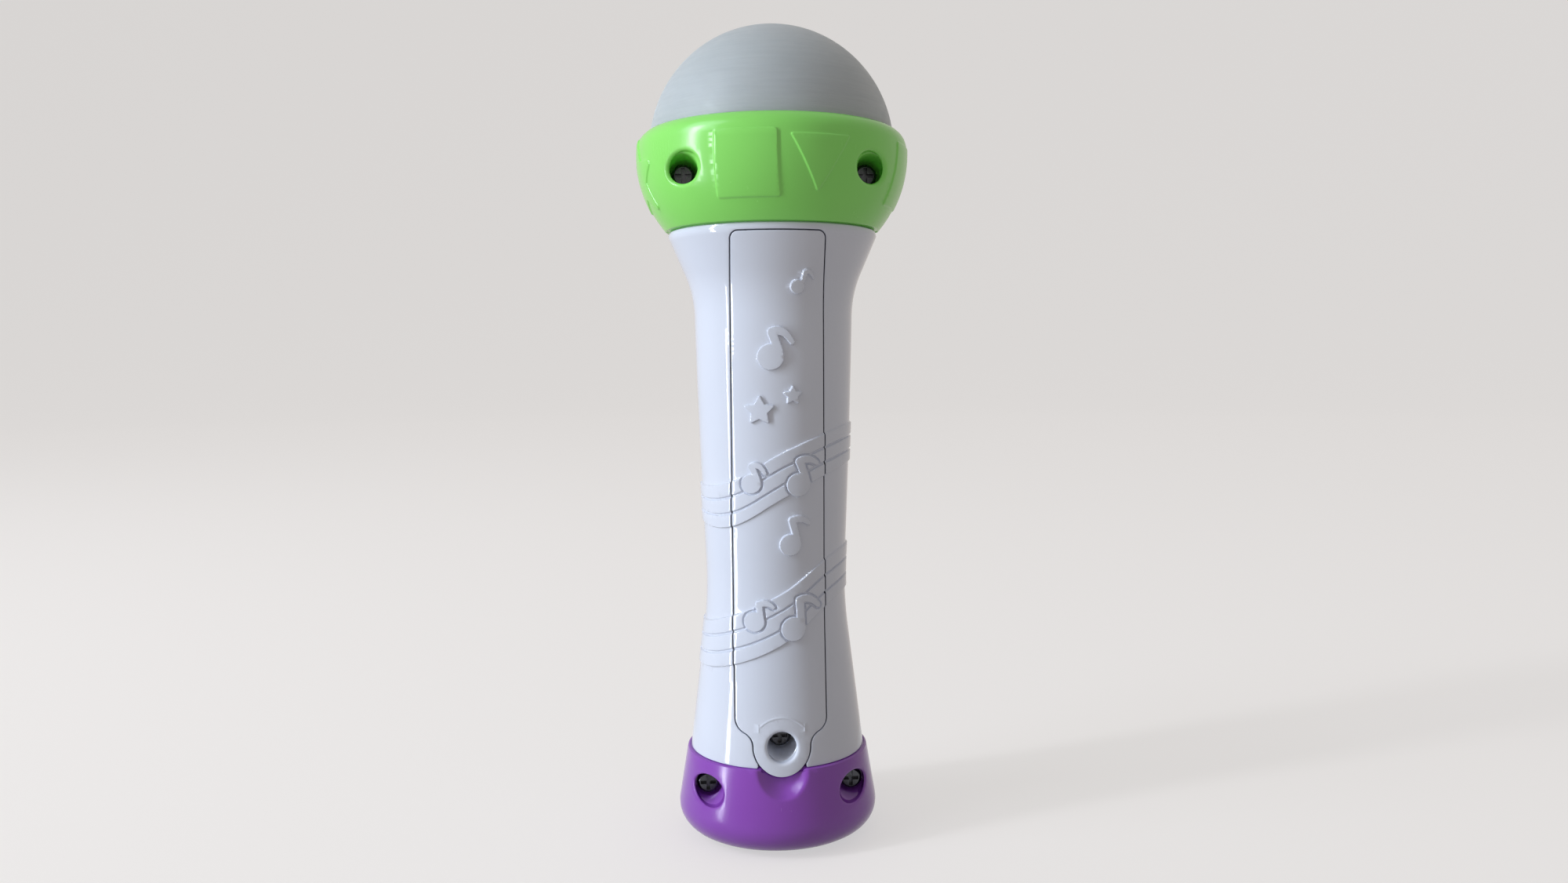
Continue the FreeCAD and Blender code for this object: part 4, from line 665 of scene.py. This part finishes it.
def shell(name, node, loops, span, lift=None, inner_lift=None, coarse=1.2, fine=0.16):
    """A closed skin between two turned surfaces, inside the first loop and outside the others.

    The surfaces are unrolled at the radius span. Every edge of the outer side is rounded by its fillet. The
    grid's step is coarse where the skin is plain, and fine where lift, the raised pattern, changes.
    """
    outer, inner = loops[0].outer, loops[0].inner
    tables = [loop.table() for loop in loops]

    def rise_over(surface, pattern, uv):
        angle, s = uv[:, 0] / span, uv[:, 1]
        return pattern(angle, surface.radius(s) * np.cos(angle), surface.height(s)) if pattern else 0

    def lifted(uv, extra=0.0):
        return outer.points(uv[:, 0] / span, uv[:, 1], rise_over(outer, lift, uv) + extra)

    verts, faces = [], []
    rims, chains = [], []
    for table in tables:
        line = table[:, :2] * (span, 1)
        left, fillet = leftward(line), table[:, 4]
        chains.append([(line + left * (fillet * (1 - math.cos(t)))[:, None], -fillet * (1 - math.sin(t)))
                       for t in FILLET_TURNS])
        rims.append(chains[-1][0][0])
    low, high = rims[0].min(axis=0), rims[0].max(axis=0)
    extra = [grid(low, high, coarse).reshape(-1, 2)]
    if lift:
        cells = grid(low, high, fine)
        rise = rise_over(outer, lift, cells.reshape(-1, 2)).reshape(cells.shape[:2])
        change = np.zeros(rise.shape)
        change[1:-1, 1:-1] = np.max([np.abs(rise[1:-1, 1:-1] - rise[1 + i:rise.shape[0] - 1 + i,
                                                                    1 + j:rise.shape[1] - 1 + j])
                                     for i in (-1, 0, 1) for j in (-1, 0, 1)], axis=0)
        busy = change > BUSY
        extra.append(cells[busy])
        index = np.clip(((extra[0] - low) / fine).astype(int), 0, np.array(busy.shape) - 1)
        extra[0] = extra[0][~busy[index[:, 0], index[:, 1]]]
    extra = np.concatenate(extra)
    extra = extra[clear_of(extra, rims, RIM_CLEAR)]
    uv, triangles, place = sheet_mesh(rims, extra)
    verts.append(lifted(uv))
    faces += triangles.tolist()
    used = len(uv)
    inner_lines = [table[:, 2:4] * (span, 1) for table in tables]
    inner_extra = grid(inner_lines[0].min(axis=0), inner_lines[0].max(axis=0), INNER_STEP).reshape(-1, 2)
    inner_extra = inner_extra[clear_of(inner_extra, inner_lines, INNER_CLEAR)]
    inner_uv, inner_triangles, inner_place = sheet_mesh(inner_lines, inner_extra)
    drop = rise_over(inner, inner_lift, inner_uv)
    verts.append(inner.points(inner_uv[:, 0] / span, inner_uv[:, 1], drop))
    faces += (inner_triangles[:, ::-1] + used).tolist()
    inner_start, used = used, used + len(inner_uv)
    start = 0
    for table, chain in zip(tables, chains):
        count = len(table)
        rows = [place[start:start + count]]
        for line, fall in chain[1:]:
            verts.append(lifted(line, fall))
            rows.append(np.arange(used, used + count))
            used += count
        rows.append(inner_place[start:start + count] + inner_start)
        for near, far in zip(rows, rows[1:]):
            faces += strip(far, near, count)
        start += count
    obj = finish_mesh(name, np.concatenate(verts), faces, MATERIALS[SLOT_OF[node]])
    clean(obj)
    stand_for(obj, node)


def clear_of(points, lines, gap):
    """Whether each point is at least gap away from every point and middle of the lines."""
    marks = []
    for line in lines:
        marks += [line, (line + np.roll(line, -1, axis=0)) / 2]
    marks = np.concatenate(marks)
    tree = KDTree(len(marks))
    for i, (u, s) in enumerate(marks):
        tree.insert((u, s, 0), i)
    tree.balance()
    return np.array([tree.find((u, s, 0))[2] > gap for u, s in points], bool)


# metres: merge distances in the order in which they are tried, and the length of an edge that goes
MERGES, SLIVER = (1e-7, 1e-9, 1e-6, 3e-6), 1e-6
GAP_SIDES = 30


def clean(obj, triangles=False):
    """Points that no face uses go, slivers collapse, small gaps are filled, and the faces turn outwards.

    Points closer than a merge distance join. The first distance that leaves a closed mesh is the one kept.
    """
    for merge in MERGES:
        work = bmesh.new()
        work.from_mesh(obj.data)
        bmesh.ops.delete(work, geom=[v for v in work.verts if not v.link_faces], context="VERTS")
        bmesh.ops.remove_doubles(work, verts=work.verts, dist=merge)
        bmesh.ops.dissolve_degenerate(work, dist=SLIVER, edges=work.edges)
        bmesh.ops.holes_fill(work, edges=[e for e in work.edges if e.is_boundary], sides=GAP_SIDES)
        if triangles:
            bmesh.ops.triangulate(work, faces=work.faces)
        bmesh.ops.recalc_face_normals(work, faces=work.faces)
        open_edges = sum(1 for e in work.edges if len(e.link_faces) != 2)
        if not open_edges or merge == MERGES[-1]:
            work.to_mesh(obj.data)
        work.free()
        if not open_edges:
            return
    print("OPEN", obj.name, open_edges)


def lathe(name, line, material, segments=128):
    """A closed body of revolution from an outline of (radius, height)."""
    line = np.asarray(line, float)
    verts, rows = [], []
    for r, z in line:
        if r < 1e-6:
            rows.append([len(verts)])
            verts.append((0, 0, z))
        else:
            rows.append(list(range(len(verts), len(verts) + segments)))
            turns = np.arange(segments) * 2 * math.pi / segments
            verts += [(r * math.cos(a), r * math.sin(a), z) for a in turns]
    faces = []
    pairs = list(zip(rows, rows[1:]))
    if not (line[0][0] < 1e-6 and line[-1][0] < 1e-6):
        pairs.append((rows[-1], rows[0]))
    for low, high in pairs:
        faces += strip(low, high, segments)
    obj = finish_mesh(name, verts, faces, material)
    clean(obj)
    return obj


def apply_modifiers(obj):
    bpy.context.view_layer.update()
    done = bpy.data.meshes.new_from_object(obj.evaluated_get(bpy.context.evaluated_depsgraph_get()))
    obj.modifiers.clear()
    obj.data = done


def boolean(obj, other, operation):
    modifier = obj.modifiers.new("cut", "BOOLEAN")
    modifier.operation, modifier.object, modifier.solver = operation, other, "EXACT"
    apply_modifiers(obj)
    bpy.data.objects.remove(other)


def core(name, node, outline, minus=None):
    """The part of a CAD node that lies inside a turned outline, under the skin."""
    obj = add(name, NODES[node].data.copy())
    work = bmesh.new()
    work.from_mesh(obj.data)
    bmesh.ops.remove_doubles(work, verts=work.verts, dist=MERGES[0])
    work.to_mesh(obj.data)
    work.free()
    boolean(obj, lathe("tool", outline, WHITE), "INTERSECT")
    if minus:
        boolean(obj, minus, "DIFFERENCE")
    clean(obj, triangles=True)
    assign(obj, MATERIALS[SLOT_OF[node]])
    smooth(obj.data)
    obj.data.set_sharp_from_angle(angle=math.radians(CORE_SHARP))
    stand_for(obj, node)


def foam_pad(name, node, grain=0.4, rounds=9):
    """Foam cut to its CAD block, with the rounded edges and slack faces of soft foam."""
    obj = add(name, NODES[node].data.copy())
    cells = obj.modifiers.new("cells", "REMESH")
    cells.mode, cells.voxel_size, cells.use_smooth_shade = "VOXEL", grain * MM, True
    relax = obj.modifiers.new("relax", "SMOOTH")
    relax.factor, relax.iterations = 0.5, rounds
    apply_modifiers(obj)
    assign(obj, MATERIALS[SLOT_OF[node]])
    stand_for(obj, node)


foam_pad("cell_pad_foam", "cell_pad")


def circle(x, z, radius, count=72, clockwise=True):
    turns = np.arange(count) * 2 * math.pi / count * (-1 if clockwise else 1)
    return np.column_stack((x + radius * np.cos(turns), z + radius * np.sin(turns)))


def hole(outer, inner, back, points, fillet):
    """A hole through a shell, from points that run clockwise in x and z.

    On the back, angles grow towards -X, so what is clockwise in x and z is counter-clockwise on the surface.
    """
    points = points[::-1] if back else points
    return Loop(outer, inner, back).flat(points, fillet)


NOTCH_FILLET, SEAM, SEAM_STEP = 0.16, 0.13, 0.6
END_POINTS, PART_POINTS = 181, 80


def half_loop(outer, inner, back, seam, low, high, low_notch=None, high_notch=None):
    """The edge of one half of a turned shell, with fillets for its seams and its two ends.

    A notch is a line in x and z that cuts into an end, in the order in which the edge runs.
    """
    first = 0.0 if back else -180.0
    last = first + 180.0
    loop = Loop(outer, inner, back)
    ends = ((low_notch, 0.0, first, last, low), (high_notch, 1.0, last, first, high))
    for notch, share, start, end, fillet in ends:
        if notch is None:
            loop.edge(np.linspace(start, end, END_POINTS), share, fillet)
        else:
            meets = np.degrees(outer.angle(notch[[0, -1], 0], notch[[0, -1], 1], back))
            loop.edge(np.linspace(start, meets[0], PART_POINTS), share, fillet)
            loop.flat(notch, NOTCH_FILLET)
            loop.edge(np.linspace(meets[1], end, PART_POINTS), share, fillet)
        shares = np.linspace(share, 1 - share, int(outer.length / SEAM_STEP))
        loop.edge(end, shares, seam)
    return loop


TAB_RADIUS, SHOULDER, DOOR_HALF, DOOR_CORNER, DOOR_TOP = 6.9, 3.3, 11.1, 1.6, 150.2


def door_side(grow):
    """The right side of the door's outline, from its tab's foot to the middle of its top, grown outwards."""
    tab, shoulder, turn = TAB_RADIUS + grow, SHOULDER + grow, math.radians(67)
    both = (DOOR_HALF - TAB_RADIUS) / (1 - math.cos(turn))
    hollow = both - shoulder
    side, corner, top = DOOR_HALF + grow, DOOR_CORNER + grow, DOOR_TOP + grow
    return spaced(trace(
        (0, DOOR_BORE_Z - tab), (tab, DOOR_BORE_Z, tab),
        (tab + hollow * (1 - math.cos(turn)), DOOR_BORE_Z + hollow * math.sin(turn), -hollow),
        (side, DOOR_BORE_Z + both * math.sin(turn), shoulder),
        (side, top - corner), (side - corner, top, corner), (0, top)), 0.4)


def mirrored(side):
    """A closed line, counter-clockwise in x and z, from its right side."""
    return np.concatenate((side, side[::-1][1:-1] * (-1, 1)))


def thinner(surface, wall, low, high):
    """The line of a surface moved in by a wall, between two heights."""
    keep = (surface.z >= low) & (surface.z <= high)
    return np.column_stack((surface.r[keep] - wall, surface.z[keep]))


# Each shell below is a skin, with a core: what the CAD solid holds inside the skin's inner line.
SKIN_GAP, DOOR_GAP = 0.02, 0.3

# handle: two halves, and the door in the back one
HANDLE_END = HANDLE_FOOT[1]
HANDLE_IN = np.concatenate((thinner(HANDLE, 2.1, 0, 150.0), [(25.3, 151.1)]))
HANDLE_INNER = Surface(HANDLE_IN)
HANDLE_CORE = np.concatenate((
    [(0, 17.5), (21.9, 17.5), (21.9, 20.5), (21.2, 21.97)], HANDLE_IN - (SKIN_GAP, 0),
    [(25.28, 152.6), (24.0, 152.7), (24.0, 158.0), (0, 158.0)]))
opening = mirrored(door_side(DOOR_GAP))
above = opening[:, 1] > HANDLE_END
first_above = np.flatnonzero(above & ~np.roll(above, 1))[0]
notch = np.roll(opening, -first_above, axis=0)[:above.sum()]
# where the opening round the door's tab meets the handle's end, and the rounded corner there
TAB_OPENING, NOTCH_ROUND = 7.2, 0.95
corner_x = math.sqrt(TAB_OPENING ** 2 - (DOOR_BORE_Z - HANDLE_END) ** 2)
notch = notch[notch[:, 1] > HANDLE_END + 0.9]
corner = trace((corner_x + NOTCH_ROUND, HANDLE_END), (notch[0][0], notch[0][1], -NOTCH_ROUND))
notch = np.concatenate(([(corner_x + NOTCH_ROUND, HANDLE_END)], corner[1:-1], notch,
                        corner[1:-1][::-1] * (-1, 1), [(-corner_x - NOTCH_ROUND, HANDLE_END)]))
shell("handle_back_skin", "handle_back",
      [half_loop(HANDLE, HANDLE_INNER, True, SEAM, 0.18, 0.25, low_notch=notch)], 20.0, handle_lift)
core("handle_back_core", "handle_back", HANDLE_CORE)

DOOR_WALL = 2.0
door_loop = Loop(DOOR, Surface(thinner(DOOR, DOOR_WALL, 0, 152.0))).flat(mirrored(door_side(0))[::-1], 0.15)
bore_loop = hole(DOOR, door_loop.inner, True, circle(0, DOOR_BORE_Z, BORE), 0.8)
shell("battery_door_skin", "battery_door", [door_loop, bore_loop], 20.0, handle_lift)
DOOR_CORE = np.concatenate(([(0, 17.5), (20.0, 17.5)], thinner(DOOR, DOOR_WALL + SKIN_GAP, 0, 150.0),
                            [(25.0, 150.4), (25.0, 153.0), (0, 153.0)]))
core("battery_door_core", "battery_door", DOOR_CORE)

# ring
RING_IN = np.concatenate((thinner(RING, 1.4, 0, 171.0), [(32.1, 172.38), (30.65, 172.4)]))
RING_INNER = Surface(RING_IN)
RING_CORE = np.concatenate(([(0, 152.0), (25.1, 152.0)], RING_IN[:-1] - (SKIN_GAP, 0), [(0, 172.38)]))
ring_bores = [hole(RING, RING_INNER, True, circle(x, SHAPE_Z, BORE), 0.8) for x in (22.0, -22.0)]
shell("ring_back_skin", "ring_back",
      [half_loop(RING, RING_INNER, True, SEAM, 0.35, 0.45)] + ring_bores, 30.0, ring_lift, fine=0.13)
core("ring_back_core", "ring_back", RING_CORE)

# base
BASE_IN = np.array([(14.0, 1.4), (20.6, 2.9), (23.6, 8.9), (21.65, 21.3), (21.6, 22.0)])
BASE_INNER = Surface(BASE_IN)
BASE_CORE = np.concatenate(([(0, -0.1), (13.98, -0.1)], BASE_IN - (SKIN_GAP, 0), [(0, 22.0)]))
base_bores = [hole(BASE, BASE_INNER, True, circle(x, 15.05, BORE), 0.45) for x in (17.95, -17.95)]
tab_cut = circle(0, DOOR_BORE_Z, TAB_OPENING, 240, clockwise=False)
tab_cut = tab_cut[(tab_cut[:, 1] < HANDLE_END - 0.02)]
tab_cut = tab_cut[np.argsort(tab_cut[:, 0])]
tab_cut = np.concatenate(([(-corner_x, HANDLE_END)], tab_cut, [(corner_x, HANDLE_END)]))
shell("base_back_skin", "base_back",
      [half_loop(BASE, BASE_INNER, True, SEAM, 0.2, 0.2, high_notch=tab_cut)] + base_bores,
      23.0, base_lift, lambda *at: 0.8 * base_lift(*at), fine=0.25)


def ball(x, y, z, radius):
    mesh = bpy.data.meshes.new("ball")
    work = bmesh.new()
    bmesh.ops.create_uvsphere(work, u_segments=96, v_segments=48, radius=radius * MM)
    bmesh.ops.translate(work, verts=work.verts, vec=Vector((x, y, z)) * MM)
    work.to_mesh(mesh)
    work.free()
    return add("ball", mesh)


core("base_back_core", "base_back", BASE_CORE, ball(0, SCOOP_Y, SCOOP_Z, SCOOP_ROUND + 0.3))

# front halves; each button has its height and radius
HOLE_GAP = 0.15
RECORD, SONG, EFFECT = (113.0, 8.0), (97.0, 4.5), (84.0, 4.5)
KNOB_Z, SPEAKER_Z = 67.0, 41.0
SPEAKER_SLOTS, SLOT_PITCH = 6, 3.4


def block(x, z, half_width, half_height, corner, clockwise=True):
    """A rounded rectangle in x and z."""
    w, h, c = half_width, half_height, corner
    line = trace((w - c, -h), (w, -h + c, c), (w, h - c), (w - c, h, c), (-w + c, h), (-w, h - c, c),
                 (-w, -h + c), (-w + c, -h, c))
    line = spaced(line, 0.4, closed=True) + (x, z)
    return line[::-1] if clockwise else line


def front_hole(points, fillet=0.3):
    return hole(HANDLE, HANDLE_INNER, False, points, fillet)


front_holes = [front_hole(circle(0, z, radius + HOLE_GAP)) for z, radius in (RECORD, SONG, EFFECT)]
front_holes.append(front_hole(block(0, KNOB_Z, 1.55, 6.3, 0.3), 0.15))
for number in range(SPEAKER_SLOTS):
    slot_z = SPEAKER_Z + (number - (SPEAKER_SLOTS - 1) / 2) * SLOT_PITCH
    front_holes.append(front_hole(block(0, slot_z, 7.5, 0.75, 0.7), 0.22))
shell("handle_front_skin", "handle_front",
      [half_loop(HANDLE, HANDLE_INNER, False, SEAM, 0.35, 0.25)] + front_holes, 20.0, handle_lift)
core("handle_front_core", "handle_front", HANDLE_CORE)
shell("ring_front_skin", "ring_front", [half_loop(RING, RING_INNER, False, SEAM, 0.35, 0.45)],
      30.0, ring_lift, fine=0.24)
core("ring_front_core", "ring_front", RING_CORE)
shell("base_front_skin", "base_front", [half_loop(BASE, BASE_INNER, False, SEAM, 0.2, 0.2)], 23.0)
core("base_front_core", "base_front", BASE_CORE)

SIGN_LIFT = 0.42


def sign_lift(kind, height):
    """A plain raised sign on a button's cap."""
    def lift(angle, x, z):
        if kind == "disc":
            distance = np.abs(np.hypot(x, z - height) - 4.2) - 0.45
            distance = np.minimum(distance, np.hypot(x, z - height) - 1.9)
        elif kind == "note":
            distance = note_distance(-x, z, 0.7, height - 1.3, 0.95, 0.6, height + 2.0, -1.2, height + 0.7)
        else:
            distance = star(x, z, 0, height, 2.5)
        return SIGN_LIFT * soft(-distance, -0.06, 0.24)
    return lift


def stem_outline(foot, rise):
    """From the axis out to a little past the front's surface, above foot: what lies under a control's cap."""
    keep = HANDLE.z > foot
    line = np.column_stack((HANDLE.r + rise, HANDLE.z))[keep]
    return np.concatenate(([(0, foot)], line, [(0, HANDLE_TOP)]))


def cap(name, node, z, radius, kind):
    """A button's cap: a disc that follows the handle's curve, with a well-rounded edge."""
    top, under = HANDLE.moved(1.9), HANDLE.moved(0.25)
    loop = Loop(top, under, False).flat(circle(0, z, radius, 96, clockwise=False), 0.9)
    shell(name + "_cap", node, [loop], 20.0, sign_lift(kind, z), coarse=0.9)
    core(name + "_stem", node, stem_outline(60.0, 0.24))


cap("record", "record_button", *RECORD, "disc")
cap("song", "song_button", *SONG, "note")
cap("effect", "effect_button", *EFFECT, "star")

bezel_out, bezel_in = HANDLE.moved(0.7), HANDLE.moved(0.0)
BEZEL_WIDTH = 2.4
bezel_z, bezel_radius = RECORD[0], RECORD[1] + HOLE_GAP
bezel_edge = Loop(bezel_out, bezel_in, False).flat(
    circle(0, bezel_z, bezel_radius + BEZEL_WIDTH, 120, clockwise=False), 0.45)
bezel_hole = hole(bezel_out, bezel_in, False, circle(0, bezel_z, bezel_radius, 96), 0.3)
shell("record_bezel_ring", "record_bezel", [bezel_edge, bezel_hole], 20.0)

RIB_PITCH, RIB_HALF, RIB_LIFT, RIB_REACH = 1.8, 0.4, 0.35, 3.1


def knob_ribs(angle, x, z):
    """Three level grip ribs on the mode knob."""
    rib = np.min([np.abs(z - KNOB_Z - RIB_PITCH * k) for k in (-1, 0, 1)], axis=0) - RIB_HALF
    return RIB_LIFT * soft(-np.maximum(rib, np.abs(x) - RIB_REACH), -0.15, 0.12)


knob_top, knob_under = HANDLE.moved(2.0), HANDLE.moved(0.35)
knob_edge = Loop(knob_top, knob_under, False).flat(block(0, KNOB_Z, 3.6, 3.8, 0.8, clockwise=False), 0.55)
shell("mode_knob_cap", "mode_knob", [knob_edge], 20.0, knob_ribs, coarse=0.7, fine=0.15)
core("mode_knob_neck", "mode_knob", stem_outline(50.0, 0.34))

# dome: a half ball with a thin wall, on a foot that the ring holds
DOME_OUT, DOME_IN, DOME_Z = 30.5, 28.7, 172.3
DOME_FOOT = [(DOME_IN, 170.4), (31.55, 170.4), (31.55, 172.1), (DOME_OUT, 172.1)]
dome_line = np.concatenate((DOME_FOOT, trace((DOME_OUT, DOME_Z), (0, 202.8, DOME_OUT)),
                            trace((0, 201.0), (DOME_IN, DOME_Z, -DOME_IN))))
stand_for(lathe("dome_glow", dome_line, DOME, 192), "dome_diffuser")


# ---- stage, light, camera
def seen_rays(tree):
    """1 for the rays of the camera, of gloss and of glass, and 0 for the rest."""
    rays = tree.nodes.new("ShaderNodeLightPath").outputs
    looked_at = math_node(tree, "MAXIMUM", rays["Is Camera Ray"], rays["Is Glossy Ray"])
    return math_node(tree, "MAXIMUM", looked_at, rays["Is Transmission Ray"])


PALENESS = 0.68
stage = Finish("pale_floor", 0.8)
stage.colour((0.36, 0.33, 0.31))
stage.set(Specular_IOR_Level=0.2, Emission_Color=(0.80, 0.80, 0.80))
stage.set(Emission_Strength=stage.math("MULTIPLY", seen_rays(stage.tree), PALENESS))


def stage_piece(name, line, segments=96):
    """A turned floor or backdrop round the toy, in metres, from a line of (radius, height)."""
    turns = np.arange(segments) * 2 * math.pi / segments
    verts = [(r * math.cos(a), r * math.sin(a), z) for r, z in line for a in turns]
    rows = [range(k * segments, (k + 1) * segments) for k in range(len(line))]
    faces = [face for low, high in zip(rows, rows[1:]) for face in strip(low, high, segments)]
    mesh = bpy.data.meshes.new(name)
    mesh.from_pydata(verts, [], faces)
    smooth(mesh)
    obj = add(name, mesh)
    assign(obj, stage.mat)
    return obj


# metres: the floor is a disc round the toy, and the backdrop goes on from it and curves up into a wall
TABLE, FLOOR_EDGE, COVE, WALL_TOP = 0.11, 2.2, 2.0, 9.0
stage_piece("floor", [(0.0001, 0), (TABLE / 2, 0), (TABLE, 0)])
cove = [(FLOOR_EDGE + COVE * math.sin(t), COVE * (1 - math.cos(t))) for t in np.radians(np.arange(0, 91, 5))]
backdrop = stage_piece("backdrop", [(TABLE, 0), (0.6, 0), *cove, (FLOOR_EDGE + COVE, WALL_TOP)])
# the backdrop is only looked at: the room's light and the low end of the window come through it, and gloss
# shows the world behind it
backdrop.visible_diffuse = backdrop.visible_shadow = backdrop.visible_glossy = False

world = bpy.data.worlds.new("world")
bpy.context.scene.world = world
world.use_nodes = True
# gloss and glass show a room about as pale as the backdrop, while the light that it gives stays plain
ROOM_LIGHT, ROOM_SEEN = 0.39, 0.70
room = world.node_tree
air = room.nodes["Background"].inputs
put(room, air["Color"], (0.97, 0.90, 0.85))
glow = math_node(room, "MULTIPLY_ADD", seen_rays(room), ROOM_SEEN - ROOM_LIGHT, ROOM_LIGHT)
put(room, air["Strength"], glow)

MIDDLE = Vector((0, 0, 0.1))


def area_light(name, azimuth, elevation, distance, width, height, power, colour):
    """A lamp that faces the middle of the toy, in metres. Azimuth 0 is out of the back (+Y), 90 is +X."""
    lamp = bpy.data.lights.new(name, "AREA")
    lamp.shape = "RECTANGLE"
    lamp.size, lamp.size_y, lamp.energy, lamp.color = width, height, power, colour
    a, e = math.radians(azimuth), math.radians(elevation)
    out = Vector((math.sin(a) * math.cos(e), math.cos(a) * math.cos(e), math.sin(e)))
    obj = add(name, lamp)
    obj.location = MIDDLE + out * distance
    obj.rotation_mode = "QUATERNION"
    obj.rotation_quaternion = out.to_track_quat("Z", "Y")
    obj.visible_camera = False


area_light("window", 71, 9, 1.3, 0.098, 1.42, 15.0, (0.86, 0.93, 1.0))
area_light("window_glow", 70, 38, 1.5, 0.7, 0.9, 6.9, (0.79, 0.89, 1.05))

scene = bpy.context.scene
scene.view_settings.view_transform = "Standard"

# the camera looks at the back from DISTANCE, at the height FOOT_Z and SIDE_SHIFT beside the toy's axis
DISTANCE, FOOT_Z, SIDE_SHIFT = 300.0, 99.6, 2.45
TILT, ROLL, TURN = math.radians(3.92), math.radians(-0.52), math.radians(3.6)
LENS, SENSOR = 27.0, 36.0
right = Vector((-math.cos(TURN), math.sin(TURN), 0))
toward = Vector((math.sin(TURN), math.cos(TURN), 0))
up = Vector((0, 0, 1))
back = toward * math.cos(TILT) + up * math.sin(TILT)
tilted_up = up * math.cos(TILT) - toward * math.sin(TILT)
cam_right = right * math.cos(ROLL) + tilted_up * math.sin(ROLL)
cam_up = tilted_up * math.cos(ROLL) - right * math.sin(ROLL)
place = (up * FOOT_Z + right * SIDE_SHIFT + back * DISTANCE) * MM
camera_data = bpy.data.cameras.new("camera")
camera_data.lens, camera_data.sensor_width = LENS, SENSOR
camera = add("camera", camera_data)
camera.matrix_world = Matrix(((*cam_right, 0), (*cam_up, 0), (*back, 0), (*place, 1))).transposed()
scene.camera = camera
